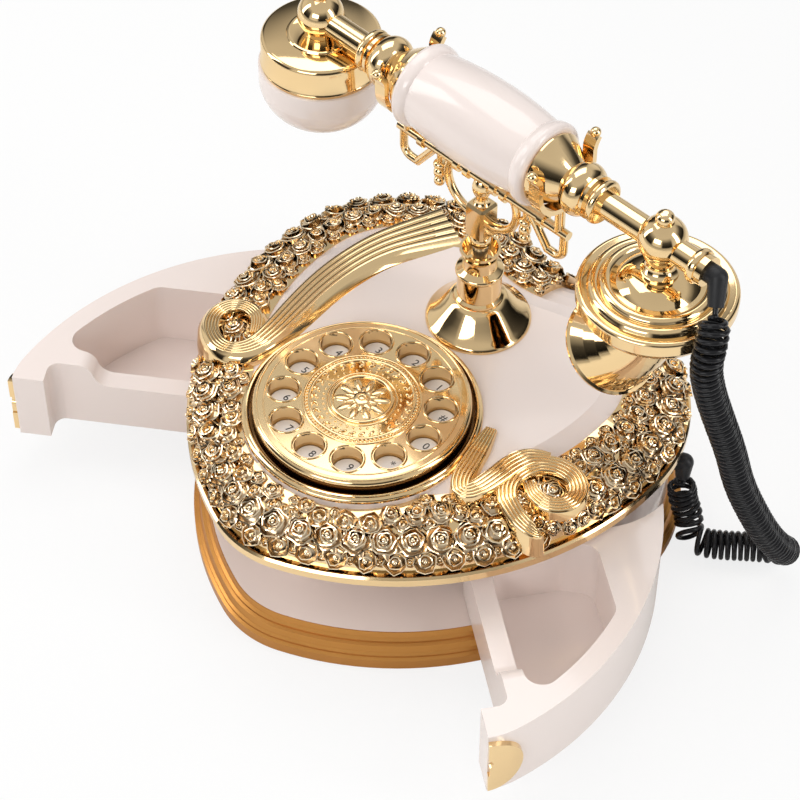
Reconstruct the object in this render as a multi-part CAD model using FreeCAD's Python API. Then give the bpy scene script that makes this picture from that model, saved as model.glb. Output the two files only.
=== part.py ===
import FreeCAD, Part
import math
import os

V = FreeCAD.Vector
UP = V(0, 0, 1)

# Plan of the case: a soft heart of tangent arcs, front on -Y
LOBE_X = 36.0
LOBE_Y = 29.0
LOBE_R = 78.0
SIDE_R = 150.0
NOSE_R = 48.0
NOSE_Y = -119.0
DIP_R = 30.0

# Heights of the case
COVER_T = 2.5
FLOOR_T = 2.5
PLINTH_H = 18.0
BAY_H = 39.6
CEILING_T = 2.4
LIP_H = 5.5
BAND_RISE = 18.5
CROWN_RISE = 2.5

# Plinth moulding, as height above the table and inset from the outline
PLINTH_STEPS = ((0.0, 0.8), (0.8, 0.0), (6.2, 0.0), (7.0, 1.4), (8.3, 1.4), (9.0, 2.6),
                (12.4, 3.6), (13.0, 5.0), (14.4, 5.0), (15.2, 6.4), (PLINTH_H, 7.2))
PLINTH_WALL = 13.0
FLOOR_INSET = 7.6

# Rear housing and drawers
BODY_INSET = 7.0
HOUSING_WALL = 3.5
HOUSING_FRONT_Y = -6.0
PARTITION_T = 14.0
PARTITION_FRONT_Y = -78.0
HINGE_X = 79.0
HINGE_Y = 28.0
CHEEK_R = 39.6
DRAWER_GAP = 0.6
DRAWER_LIFT = 0.4
DRAWER_H = 38.8
DRAWER_WALL = 9.5
DRAWER_FLOOR = 3.5
DRAWER_CORNER_R = 8.0
LEFT_OPEN = 57.0
RIGHT_OPEN = 53.0
MOST_OPEN = max(LEFT_OPEN, RIGHT_OPEN)
TIP_GAP = 0.8
NOTCH_X = 13.0
NOTCH_Y = -97.0
NOTCH_R = 5.0
LOW_WALL_DROP = 12.5
LOW_WALL_Y = -69.0
LOW_WALL_RUN = 15.0
ARM_T = 4.5
ARM_W = 20.0
ARM_REACH = 50.0
ARM_TURN = -50.0
PIN_R = 3.0
PIN_PLAY = 0.06
BOSS_R = 7.0
RIB_T = 4.0
PLATE_R = 16.5
PLATE_T = 2.4
KEYHOLE_R = 2.8

# Top shell, rose band and ribbons
LIP_W = 4.5
BAND_W = 31.0
BAND_T = 5.0
BAND_EDGE = 0.5
SHOULDER_BULGE = 0.8
BAND_GAP_X0 = 9.0
BAND_GAP_X1 = 44.0
SHELL_T = 3.0
CROWN_INSET = 40.0
RIBBON_T = 4.6
FLUTE_D = 1.3
ROSE_ROWS = ((10.4, 5.9), (21.4, 5.1))
ROSE_GAP = 0.4
ROSE_SINK = 4.0
ROSE_LEAST = 0.55
ROSE_CUPS = ((1.0, 0.0), (0.95, 0.26), (0.68, 0.2), (0.62, 0.48), (0.36, 0.4), (0.28, 0.64))
VOLUTE_HOLE_R = 7.5
VOLUTE_TILT = 16.0
VOLUTE_SKIRT = 14.0

# Dial and its keys
DIAL_Y = -39.0
DIAL_T = 8.0
BEZEL_R = 54.0
BEZEL_W = 5.0
BEZEL_T = 5.2
BEZEL_GAP = 1.2
BEZEL_SEAT_W = 9.0
WELL_COUNT = 12
WELL_R = 7.0
RIM_LAND = 6.5
HUB_MARGIN = 0.5
HUB_RINGS = (0.81, 0.47)
HUB_BEAD = 0.95
HUB_BOSS_R = 5.0
HUB_BOSS_H = 1.2
KEY_PLAY = 0.3
KEY_DEPTH = 7.0
KEY_FLANGE = 1.2
KEY_FLANGE_T = 1.5
KEY_STEM_R = 3.0
KEY_STEM_L = 3.8
KEY_TRAVEL = 1.5
DOME_H = 1.8
DOME_CLEAR = 0.2
MEMBRANE_T = 1.4
BOARD_T = 1.6
KEYPAD_GAP = 3.0
KEY_NAMES = ("1", "2", "3", "4", "5", "6", "7", "8", "9", "star", "0", "hash")
FIRST_KEY_ANGLE = 62.0

# Pedestal and hook
PED_FLANGE_R = 24.5
PED_GAP = 0.5
BELL_H = 15.0
COLLAR_R = 10.3
COLLAR_H = 30.0
PLUNGER_R = 3.5
PLUNGER_PLAY = 0.08
BALL_R = 4.7
BLOCK_W = 11.0
BLOCK_H = 19.0
CRADLE_YAW = -3.0
BAR_Z = 173.0
BAR_R = 2.3
BAR_HALF = 51.0
LOOP_W = 20.0
LOOP_DROP = 15.0
LOOP_EDGE = 0.6
PRONG_X = 45.5
PRONG_W = 6.0
PRONG_T = 2.5
PRONG_PLAY = 0.3
PRONG_RISE = 5.0
TASSEL_X = 26.0
HOOK_TRAVEL = 3.0

# Handset
AXIS_Z = 205.0
GRIP_HALF = 38.0
GRIP_R = 20.3
GRIP_NECK_R = 17.9
GRIP_FLANGE_R = 19.7
TIE_R = 5.0
TIE_PLAY = 0.1
BELL_MOUTH_R = 16.8
BULB_R = 12.2
BULB_X = 57.0
CONNECTOR_END = 70.0
ROD_R = 5.8
KNUCKLE_X = 101.0
KNUCKLE_R = 10.6
ROD_END = 126.0
STEM_DROP = 17.5
EAR_R = 27.5
EAR_CAP_H = 15.5
EAR_ROOF_T = 2.4
EAR_WALL = 3.0
EAR_BOWL_R = 29.0
EAR_BOWL_WALL = 2.6
EAR_FACE_R = 13.0
EAR_BOWL_H = 22.0
MOUTH_R = 34.5
MOUTH_DISC_H = 14.0
MOUTH_DISH_H = 13.0
DISH_WALL = 2.6
HORN_R = 11.0
HORN_MOUTH_R = 21.5
HORN_REACH = 21.0
HORN_DROP = 32.0
HORN_TILT = 38.0
HORN_WALL = 1.8
HORN_LIP = 2.4
GROMMET_L = 12.0
GROMMET_TURN = 50.0
GROMMET_TILT = 50.0
GROMMET_DEPTH = 4.0

# Curly cord: route of its centre line and the curls along it
CORD_COIL_R = 4.9
CORD_WIRE = 2.0
CORD_PITCH = 3.85
CORD_LEAD_TOP = 12.0
CORD_LEAD_END = 14.0
CORD_ROUTE = ((139.5, 17.5, 172.0), (141.0, 20.0, 157.0), (144.0, 25.5, 137.0), (148.0, 32.5, 113.0),
              (153.0, 41.5, 87.0), (159.0, 52.0, 63.0), (165.0, 63.0, 43.0), (169.5, 75.0, 26.0),
              (167.0, 87.0, 14.0), (153.0, 93.0, 8.0), (136.5, 83.0, 7.2), (124.0, 67.0, 8.4),
              (114.0, 60.0, 16.0))
SOCKET_Z = 49.0
SOCKET_ANGLE = 24.0
SOCKET_R = 6.6
SOCKET_T = 3.0
SOCKET_BORE_R = 5.0
BOOT_R = 4.4
BOOT_MOUTH_R = 3.4
BOOT_DROP = 9.0

# Heights worked out from the above
DRAWER_Z0 = PLINTH_H + DRAWER_LIFT
CEILING_Z = PLINTH_H + BAY_H
LIP_Z0 = CEILING_Z + CEILING_T
LIP_Z1 = LIP_Z0 + LIP_H
BAND_Z1 = LIP_Z1 + BAND_RISE
TOP_Z = BAND_Z1 + CROWN_RISE
DIAL_TOP = TOP_Z + DIAL_T
BELL_TOP = TOP_Z + BELL_H
COLLAR_TOP = BELL_TOP + COLLAR_H
STEM_Z = AXIS_Z - STEM_DROP

# Places worked out from the above
DIAL_R = BEZEL_R - BEZEL_W
WELL_PITCH_R = DIAL_R - RIM_LAND - WELL_R
SHELL_HOLE_R = BEZEL_R - BEZEL_SEAT_W
BOARD_R = SHELL_HOLE_R - KEYPAD_GAP
PED_Y = DIAL_Y + BEZEL_R + PED_GAP + PED_FLANGE_R
CASE_REACH = LOBE_X + LOBE_R
CASE_BACK_Y = LOBE_Y + LOBE_R - BODY_INSET


def line(a, b):
    return Part.LineSegment(a, b).toShape()


def arc(a, mid, b):
    return Part.Arc(a, mid, b).toShape()


def cylinder(x, y, z0, z1, r):
    return Part.makeCylinder(r, z1 - z0, V(x, y, z0))


def box(x0, x1, y0, y1, z0, z1):
    return Part.makeBox(x1 - x0, y1 - y0, z1 - z0, V(x0, y0, z0))


def mirror_x(shape):
    return shape.mirror(V(0, 0, 0), V(1, 0, 0))


def fuse(shapes):
    return shapes[0].multiFuse(list(shapes[1:])).removeSplitter()


def path_edges(points):
    """Edges through points; a pair (mid, end) stands for an arc."""
    edges = []
    last = points[0]
    for move in points[1:]:
        if isinstance(move, V):
            edges.append(line(last, move))
            last = move
        else:
            edges.append(arc(last, move[0], move[1]))
            last = move[1]
    return edges


def turned(points, origin, axis, radial):
    """Solid of revolution; points are (radius, height) along axis, arcs as ((r, h), (r, h))."""
    def at(p):
        return origin + radial * p[0] + axis * p[1]
    moves = [at(p) if not isinstance(p[0], tuple) else (at(p[0]), at(p[1])) for p in points]
    edges = path_edges(moves + [moves[0]])
    return Part.Face(Part.Wire(edges)).revolve(origin, axis, 360)


def lathe(points, x=0.0, y=0.0):
    return turned(points, V(x, y, 0), UP, V(1, 0, 0))


def lathe_x(points):
    """Turned about the handset's axis; points are (radius, place along X)."""
    return turned(points, V(0, 0, AXIS_Z), V(1, 0, 0), UP)


def tube(points, r):
    """Round bar along lines and arcs."""
    path = Part.Wire(path_edges(points))
    start = path.Edges[0]
    tangent = start.tangentAt(start.FirstParameter)
    ring = Part.Wire(Part.Circle(points[0], tangent, r).toShape())
    shell = Part.BRepOffsetAPI.MakePipeShell(path)
    shell.add(ring)
    shell.setTransitionMode(1)
    shell.build()
    shell.makeSolid()
    return shell.shape()


def heart_centres():
    """Centres of the right-hand lobe, side and nose arcs and of the rear dip."""
    lobe = V(LOBE_X, LOBE_Y, 0)
    nose = V(0, NOSE_Y + NOSE_R, 0)
    ra = SIDE_R - LOBE_R
    rb = SIDE_R - NOSE_R
    gap = nose - lobe
    d = gap.Length
    along = (ra * ra - rb * rb + d * d) / (2 * d)
    off = math.sqrt(ra * ra - along * along)
    ux = gap / d
    side = lobe + ux * along + V(ux.y, -ux.x, 0) * off
    dip = V(0, LOBE_Y + math.sqrt((LOBE_R + DIP_R) ** 2 - LOBE_X ** 2), 0)
    return lobe, side, nose, dip


def toward(a, b, length):
    step = b - a
    return a + step * (length / step.Length)


def heart_wire(inset, z):
    lobe, side, nose, dip = heart_centres()
    r_side = SIDE_R - inset
    r_lobe = LOBE_R - inset
    front = toward(side, nose, r_side)
    flank = toward(side, lobe, r_side)
    rear = toward(lobe, dip, r_lobe)
    side_mid = side + (toward(side, front, 1) + toward(side, flank, 1) - side * 2).normalize() * r_side
    lobe_mid = lobe + (toward(lobe, flank, 1) + toward(lobe, rear, 1) - lobe * 2).normalize() * r_lobe
    apex = nose - V(0, NOSE_R - inset, 0)
    hollow = dip - V(0, DIP_R + inset, 0)

    def flip(p):
        return V(-p.x, p.y, p.z)
    runs = ((flip(front), apex, front), (front, side_mid, flank), (flank, lobe_mid, rear),
            (rear, hollow, flip(rear)), (flip(rear), flip(lobe_mid), flip(flank)),
            (flip(flank), flip(side_mid), flip(front)))
    lift = V(0, 0, z)
    return Part.Wire([arc(a + lift, m + lift, b + lift) for a, m, b in runs])


def slab(inset, z0, z1):
    return Part.Face(heart_wire(inset, z0)).extrude(V(0, 0, z1 - z0))


def stack(steps):
    """Solid through heart outlines; steps are (height, inset)."""
    return Part.makeLoft([heart_wire(inset, z) for z, inset in steps], True, True)


def base_plinth():
    ring = stack(PLINTH_STEPS)
    hollow = slab(PLINTH_WALL, 0, PLINTH_H - FLOOR_T)
    rebate = slab(FLOOR_INSET, PLINTH_H - FLOOR_T, PLINTH_H)
    return ring.cut(hollow).cut(rebate)


FASTENERS = ((-62, -28), (62, -28), (-62, 62), (62, 62))
PADS = ((-40, -62), (40, -62), (-70, 45), (70, 45))
PAD_R = 8.0
PAD_T = 1.6
SCREW_R = 1.6
SCREW_HEAD_R = 3.2
SCREW_HEAD_T = 1.8
SCREW_POST_R = 4.0


def bottom_cover():
    plate = slab(PLINTH_WALL, 0, COVER_T)
    pads = [cylinder(x, y, 0, PAD_T, PAD_R) for x, y in PADS]
    screws = [cylinder(x, y, 0, COVER_T, SCREW_R) for x, y in FASTENERS]
    heads = [cylinder(x, y, 0, SCREW_HEAD_T, SCREW_HEAD_R) for x, y in FASTENERS]
    return plate.cut(pads + screws + heads)


def rubber_pads():
    return Part.makeCompound([cylinder(x, y, 0, PAD_T, PAD_R) for x, y in PADS])


def bottom_screws():
    screws = []
    for x, y in FASTENERS:
        head = cylinder(x, y, 0, SCREW_HEAD_T, SCREW_HEAD_R)
        screws.append(head.fuse(cylinder(x, y, SCREW_HEAD_T, PLINTH_H - FLOOR_T, SCREW_R)))
    return Part.makeCompound(screws)


BOARD_FRONT = 58.0
BOARD_REAR = 22.0
BOARD_HALF = 38.0
BOARD_POSTS = tuple((x, CASE_BACK_Y - back) for back in (BOARD_FRONT, BOARD_REAR)
                    for x in (-BOARD_HALF, BOARD_HALF))
BOARD_POST_R = 3.0
MAIN_BOARD_Z = 36.0
BOARD_EDGE = 2.0


def bay_floor():
    z = PLINTH_H - FLOOR_T
    plate = slab(FLOOR_INSET, z, PLINTH_H)
    posts = [cylinder(x, y, COVER_T, z, SCREW_POST_R) for x, y in FASTENERS]
    board = [cylinder(x, y, PLINTH_H, MAIN_BOARD_Z, BOARD_POST_R) for x, y in BOARD_POSTS]
    bores = [cylinder(x, y, COVER_T, z, SCREW_R) for x, y in FASTENERS]
    return fuse([plate] + posts + board).cut(bores)


def swing_corner(z0, z1):
    """Quarter outside the left hinge, where the drawer wraps round the cheek."""
    far = LOBE_R * 2
    return box(-far, -HINGE_X, -far, HINGE_Y, z0, z1)


def housing_block(wall):
    """The rear housing's outer form, drawn in by wall on every side."""
    body = slab(BODY_INSET + wall, PLINTH_H, CEILING_Z)
    far = LOBE_R * 2
    rear = box(-far, far, HOUSING_FRONT_Y + wall, far, PLINTH_H, CEILING_Z)
    corner = swing_corner(PLINTH_H, CEILING_Z)
    cheeks = [cylinder(x, HINGE_Y, PLINTH_H, CEILING_Z, CHEEK_R - wall) for x in (-HINGE_X, HINGE_X)]
    return body.common(fuse([rear.cut([corner, mirror_x(corner)])] + cheeks))


def arm_blank(turn, width, reach):
    """Plan of a left-hand hinge arm pointing along turn, as a tall block."""
    bar = box(0, reach, -width / 2, width / 2, PLINTH_H, CEILING_Z)
    bar.rotate(V(0, 0, 0), UP, turn)
    bar.translate(V(-HINGE_X, HINGE_Y, 0))
    return bar


def arm_levels(margin):
    low = DRAWER_Z0 - margin
    high = DRAWER_Z0 + DRAWER_H + margin
    return ((low, low + ARM_T + 2 * margin), (high - ARM_T - 2 * margin, high))


def arm_slots():
    """Room that the left drawer's two arms sweep through the housing."""
    width = ARM_W + 2 * DRAWER_GAP
    reach = ARM_REACH + DRAWER_GAP
    turns = [ARM_TURN - MOST_OPEN * k / 4 for k in range(5)]
    swept = [arm_blank(turn, width, reach) for turn in turns]
    swept.append(cylinder(-HINGE_X, HINGE_Y, PLINTH_H, CEILING_Z, width / 2))
    plan = fuse(swept)
    big = LOBE_R * 4
    levels = [box(-big, big, -big, big, z0, z1) for z0, z1 in arm_levels(DRAWER_LIFT)]
    return plan.common(Part.makeCompound(levels))


def hinge_boss():
    low = arm_levels(DRAWER_LIFT)[0][1]
    high = arm_levels(DRAWER_LIFT)[1][0]
    boss = cylinder(-HINGE_X, HINGE_Y, low, high, BOSS_R)
    rib = box(-HINGE_X - LOBE_R, -HINGE_X, HINGE_Y - RIB_T / 2, HINGE_Y + RIB_T / 2, low, high)
    rib = rib.common(slab(BODY_INSET + HOUSING_WALL / 2, low, high))
    return boss.fuse(rib).cut(cylinder(-HINGE_X, HINGE_Y, low, high, PIN_R))


JACK_X = -36.0
JACK_W = 15.0
JACK_H = 13.0
JACK_L = 14.0
JACK_Z = 24.0
JACK_HOLE_W = 10.0
JACK_HOLE_H = 7.0
JACK_HOLE_D = 10.0


def jack_face_y():
    return CASE_BACK_Y


def jack_block():
    y1 = jack_face_y()
    half = JACK_W / 2
    return box(JACK_X - half, JACK_X + half, y1 - JACK_L, y1, JACK_Z, JACK_Z + JACK_H)


def socket_axis():
    a = math.radians(SOCKET_ANGLE)
    return V(math.cos(a), math.sin(a), 0)


def socket_seat():
    """Point of the housing's outer wall where the cord goes in."""
    return V(LOBE_X, LOBE_Y, SOCKET_Z) + socket_axis() * (LOBE_R - BODY_INSET)


def rear_housing():
    shell = housing_block(0).cut(housing_block(HOUSING_WALL))
    boss = hinge_boss()
    slots = arm_slots()
    shell = fuse([shell, boss, mirror_x(boss)]).cut([slots, mirror_x(slots)])
    n = socket_axis()
    inlet = Part.makeCylinder(SOCKET_BORE_R, HOUSING_WALL * 4, socket_seat() - n * HOUSING_WALL * 2, n)
    return shell.cut([inlet, jack_block()])


def line_jack():
    y1 = jack_face_y()
    body = jack_block().common(slab(BODY_INSET, JACK_Z, JACK_Z + JACK_H))
    half = JACK_HOLE_W / 2
    z = JACK_Z + (JACK_H - JACK_HOLE_H) / 2
    hole = box(JACK_X - half, JACK_X + half, y1 - JACK_HOLE_D, y1, z, z + JACK_HOLE_H)
    return body.cut(hole)


def boot_axis_point():
    """Where the socket's boot turns down beside the wall."""
    return socket_seat() + socket_axis() * (SOCKET_T + BOOT_R)


def cord_socket():
    """Bush through the wall with a flange and a boot turned down to the cord."""
    n = socket_axis()
    seat = socket_seat()
    wall = slab(BODY_INSET, SOCKET_Z - SOCKET_R * 2, SOCKET_Z + SOCKET_R)
    inner = Part.makeCylinder(SOCKET_BORE_R, HOUSING_WALL * 2, seat - n * HOUSING_WALL * 1.5, n)
    flange = Part.makeCylinder(SOCKET_R, SOCKET_T + HOUSING_WALL, seat - n * HOUSING_WALL, n)
    arm = Part.makeCylinder(BOOT_R, SOCKET_T + BOOT_R, seat, n)
    corner = boot_axis_point()
    ball = Part.makeSphere(BOOT_R, corner)
    boot = Part.makeCone(BOOT_MOUTH_R, BOOT_R, BOOT_DROP, corner - UP * BOOT_DROP)
    outside = fuse([flange, arm, ball, boot]).cut(wall)
    return fuse([inner.common(wall), outside])


def centre_partition():
    half = PARTITION_T / 2
    wall = box(-half, half, PARTITION_FRONT_Y, HOUSING_FRONT_Y, PLINTH_H, CEILING_Z)
    return wall.fuse(cylinder(0, PARTITION_FRONT_Y, PLINTH_H, CEILING_Z, half)).removeSplitter()


def hinge_pins():
    return Part.makeCompound([cylinder(x, HINGE_Y, PLINTH_H, CEILING_Z, PIN_R) for x in (-HINGE_X, HINGE_X)])


def drawer_plan(z0, z1):
    """The closed left drawer's outline between two heights."""
    body = slab(BODY_INSET, z0, z1)
    far = LOBE_R * 2
    front = box(-far, -TIP_GAP, -far, HOUSING_FRONT_Y - DRAWER_GAP, z0, z1)
    body = body.common(front.fuse(swing_corner(z0, z1)))
    notch = box(-NOTCH_X, 0, NOTCH_Y, far, z0, z1)
    corner = [e for e in notch.Edges if abs(e.BoundBox.XMax + NOTCH_X) < 1e-6
              and abs(e.BoundBox.YMax - NOTCH_Y) < 1e-6]
    notch = notch.makeFillet(NOTCH_R, corner)
    return body.cut(notch).cut(cylinder(-HINGE_X, HINGE_Y, z0, z1, CHEEK_R + DRAWER_GAP))


def drawer_cavity():
    z0 = DRAWER_Z0 + DRAWER_FLOOR
    z1 = DRAWER_Z0 + DRAWER_H
    plan = [f for f in drawer_plan(z0, z1).Faces if abs(f.BoundBox.ZMax - z0) < 1e-6][0]
    inner = plan.makeOffset2D(-(DRAWER_WALL + DRAWER_CORNER_R))
    return inner.makeOffset2D(DRAWER_CORNER_R).extrude(V(0, 0, z1 - z0))


def low_wall_cut():
    """Takes down the drawer's inner wall in an S-curve behind the tip."""
    top = DRAWER_Z0 + DRAWER_H
    low = top - LOW_WALL_DROP
    x = -NOTCH_X - DRAWER_WALL - DRAWER_CORNER_R
    y0 = LOW_WALL_Y - LOW_WALL_RUN
    ym = LOW_WALL_Y - LOW_WALL_RUN / 2
    zm = (top + low) / 2
    bow = LOW_WALL_RUN / 12

    def at(y, z):
        return V(x, y, z)
    end = HOUSING_FRONT_Y + DRAWER_WALL
    profile = [at(y0, top), (at((y0 + ym) / 2 + bow, (top + zm) / 2 + bow), at(ym, zm)),
               (at((ym + LOW_WALL_Y) / 2 - bow, (zm + low) / 2 - bow), at(LOW_WALL_Y, low)),
               at(end, low), at(end, top + 1), at(y0, top + 1), at(y0, top)]
    face = Part.Face(Part.Wire(path_edges(profile)))
    return face.extrude(V(-x, 0, 0))


def drawer_arms():
    """The two hinge arms with their eyes, for the closed left drawer."""
    plan = arm_blank(ARM_TURN, ARM_W, ARM_REACH)
    plan = plan.fuse(cylinder(-HINGE_X, HINGE_Y, PLINTH_H, CEILING_Z, ARM_W / 2))
    plan = plan.cut(cylinder(-HINGE_X, HINGE_Y, PLINTH_H, CEILING_Z, PIN_R + PIN_PLAY))
    big = LOBE_R * 4
    return [plan.common(box(-big, big, -big, big, z0, z1)) for z0, z1 in arm_levels(0)]


def left_drawer_closed():
    body = fuse([drawer_plan(DRAWER_Z0, DRAWER_Z0 + DRAWER_H)] + drawer_arms())
    return body.cut(drawer_cavity()).cut(low_wall_cut())


def latch_plate_closed():
    """Left half of the round escutcheon on the drawers' meeting tips."""
    zc = DRAWER_Z0 + DRAWER_H / 2
    z0 = zc - PLATE_R
    z1 = zc + PLATE_R
    skin = slab(BODY_INSET - PLATE_T, z0, z1).cut(slab(BODY_INSET, z0, z1))
    disc = Part.makeCylinder(PLATE_R, NOSE_R, V(0, NOSE_Y, zc), V(0, 1, 0))
    half = box(-PLATE_R, -TIP_GAP, NOSE_Y, NOSE_Y + NOSE_R, z0, z1)
    hole = Part.makeCylinder(KEYHOLE_R, NOSE_R, V(0, NOSE_Y, zc + KEYHOLE_R), V(0, 1, 0))
    slot = box(-KEYHOLE_R / 2, 0, NOSE_Y, NOSE_Y + NOSE_R, zc - KEYHOLE_R * 2, zc + KEYHOLE_R)
    return skin.common(disc).common(half).cut([hole, slot])


def opened(shape, angle):
    """Swings a closed left-hand piece out to its open rest place."""
    swung = shape.copy()
    swung.rotate(V(-HINGE_X, HINGE_Y, 0), UP, -angle)
    return swung


KEY_FOOT_Z = TOP_Z - KEY_PLAY - KEY_FLANGE_T - KEY_STEM_L
KEY_BOARD_Z = KEY_FOOT_Z - KEY_TRAVEL - DOME_CLEAR - DOME_H - MEMBRANE_T - BOARD_T
KEY_POST_R = 3.0
KEY_POST_INSET = 6.0
KEY_POST_ANGLES = (30, 150, 270)


def bay_ceiling():
    plate = slab(BODY_INSET - PLATE_T, CEILING_Z, LIP_Z0)
    reach = BOARD_R - KEY_POST_INSET
    posts = []
    for angle in KEY_POST_ANGLES:
        x = reach * math.cos(math.radians(angle))
        y = DIAL_Y + reach * math.sin(math.radians(angle))
        posts.append(cylinder(x, y, LIP_Z0, KEY_BOARD_Z, KEY_POST_R))
    return fuse([plate] + posts)


def shoulder(lift, w0):
    """Convex shoulder from the lip in to the top, as (height, inset), raised by lift."""
    steps = []
    for k in range(7):
        t = k / 6
        z = LIP_Z1 + lift + (BAND_RISE - BAND_T) * math.sin(t * math.pi / 2)
        steps.append((z, w0 + (BAND_W - w0) * (1 - math.cos(t * math.pi / 2)) ** SHOULDER_BULGE))
    return steps


def crown_steps():
    """Outer form of the top shell, as (height, inset)."""
    edge = [(BAND_Z1 - BAND_EDGE, BAND_W), (TOP_Z, CROWN_INSET)]
    return [(LIP_Z0, LIP_W)] + shoulder(0, LIP_W) + edge


def crown_outer():
    """Outside of the top shell with the raised seat of the dial."""
    seat = cylinder(0, DIAL_Y, LIP_Z1, TOP_Z, BEZEL_R).common(slab(LIP_W, LIP_Z1, TOP_Z))
    return fuse([stack(crown_steps()), seat])


def top_shell():
    steps = crown_steps()
    inner = [(LIP_Z0, LIP_W + SHELL_T)] + [(z - SHELL_T, inset + SHELL_T) for z, inset in steps[1:]]
    dial = cylinder(0, DIAL_Y, LIP_Z0, TOP_Z, SHELL_HOLE_R)
    hook = cylinder(0, PED_Y, LIP_Z0, TOP_Z, BELL_BORE_R)
    return crown_outer().cut(stack(inner)).cut([dial, hook])


def band_gap():
    """Wedge of the shoulder that stays bare at the back."""
    far = LOBE_R * 2
    lip = slab(LIP_W, LIP_Z1, TOP_Z + BAND_T)
    return box(BAND_GAP_X0, BAND_GAP_X1, 0, far, LIP_Z0, TOP_Z + BAND_T).common(lip)


def rose_band():
    lip = stack([(LIP_Z0, 0.6), (LIP_Z0 + 0.6, 0), (LIP_Z1 - 1.0, 0), (LIP_Z1, 1.0)])
    field = stack([(LIP_Z0, LIP_W - 1.0), (LIP_Z1, LIP_W - 1.0)] + shoulder(BAND_T, LIP_W))
    ring = lip.fuse(field)
    bore = slab(BAND_W, LIP_Z0, TOP_Z + BAND_T)
    ring = ring.cut(bore).cut(crown_outer()).cut(band_gap())
    return max(ring.Solids, key=lambda s: s.Volume)


def flute_section(centre, across, width):
    """One upright cross-section of a ribbon: four flutes on a flat back."""
    half = width / 2
    base = TOP_Z - CROWN_RISE - BAND_T
    tops = []
    count = 4
    for k in range(count * 2 + 1):
        drop = 0.0 if k % 2 else FLUTE_D
        tops.append((half - width * k / (count * 2), TOP_Z + RIBBON_T - drop))
    loop = [(-half, base), (half, base)] + tops
    points = [centre + across * s + UP * z for s, z in loop]
    return Part.makePolygon(points + [points[0]])


def beside_dial(t):
    """Distance from the middle at t between the dial's edge (0) and the rim's (1)."""
    return BEZEL_R + (CASE_REACH - BEZEL_R) * t


def ribbon_strip(side, stations):
    """Ruled fluted band on one side through (place beside the dial, y, heading, width) stations."""
    wires = []
    for t, y, heading, width in stations:
        a = math.radians(heading)
        across = V(-math.sin(a), math.cos(a), 0)
        wires.append(flute_section(V(side * beside_dial(t), y, 0), across, width))
    return Part.makeLoft(wires, True, True)


def tipped(shape, x, y, z, heading):
    """Leans a volute's form outwards along heading and sets it in place."""
    shape.rotate(V(0, 0, 0), V(0, 1, 0), VOLUTE_TILT)
    shape.rotate(V(0, 0, 0), UP, heading)
    shape.translate(V(x, y, z))
    return shape


def volute(r):
    """Coiled end of a ribbon: ringed disc with an open eye."""
    ring = (r - VOLUTE_HOLE_R) / 3
    points = [(VOLUTE_HOLE_R, -VOLUTE_SKIRT), (r, -VOLUTE_SKIRT), (r, -FLUTE_D)]
    for k in range(3):
        outer = r - ring * k
        points.append(((outer - ring / 2, 0), (outer - ring, -FLUTE_D)))
    return lathe(points)


LEFT_STRIP = ((0.2, -44, 75, 16), (0.133, -25, 92, 18), (0.133, -4, 91, 18), (0.1, 16, 84, 18),
              (0.05, 34, 76, 20), (-0.05, 54, 70, 26), (-0.133, 70, 66, 36))
LEFT_VOLUTE = (0.433, -38, 1.5, 17.0, 205)
RIGHT_CORNER = (0.183, -47.5, 19, 13)
RIGHT_STRIP_A = ((-0.117, -12, -65, 7), (-0.033, -23, -66, 9), (0.05, -35, -60, 9), RIGHT_CORNER)
RIGHT_STRIP_B = (RIGHT_CORNER, (0.25, -37, 85, 9), (0.267, -26, 86, 9), (0.3, -15, 75, 9),
                 (0.383, -7.5, 45, 9), (0.533, -4.5, -5, 9))
RIGHT_VOLUTE = (0.617, -18.4, -1.1, 15.2, -14)


def case_top():
    """Outside of the band and the crown in one form, which the trim is bedded on."""
    return stack([(LIP_Z0, LIP_W - 1.0)] + shoulder(BAND_T, LIP_W) + [(TOP_Z, CROWN_INSET)])


def ribbon(side, strips, spot):
    """Fluted strips of one side that run out of their volute, bedded on the case."""
    t, y, lift, r, heading = spot
    place = (side * beside_dial(t), y, TOP_Z + lift, heading)
    plug = tipped(cylinder(0, 0, -BAND_RISE - VOLUTE_SKIRT, BAND_RISE, r), *place)
    pieces = [tipped(volute(r), *place)]
    for stations in strips:
        pieces.append(ribbon_strip(side, stations).cut(plug))
    return pieces


def ribbons():
    dial = cylinder(0, DIAL_Y, LIP_Z0, DIAL_TOP, BEZEL_R)
    bed = case_top()
    pieces = ribbon(-1, (LEFT_STRIP,), LEFT_VOLUTE) + ribbon(1, (RIGHT_STRIP_A, RIGHT_STRIP_B), RIGHT_VOLUTE)
    solids = []
    for piece in pieces:
        solids += piece.cut(bed).cut(dial).Solids
    return Part.makeCompound(solids)


def shoulder_height(inset):
    """Height of the rose band's outer face at an inset from the outline."""
    share = ((inset - LIP_W) / (BAND_W - LIP_W)) ** (1 / SHOULDER_BULGE)
    return LIP_Z1 + BAND_T + (BAND_RISE - BAND_T) * math.sin(math.acos(1 - share))


def rose(r):
    """Turned form of one rose on the origin: two cups of petals round a bud."""
    points = [(0, -ROSE_SINK), (r, -ROSE_SINK)] + [(r * wide, r * high) for wide, high in ROSE_CUPS]
    return lathe(points + [(0, r * ROSE_CUPS[-1][1])])


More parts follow.
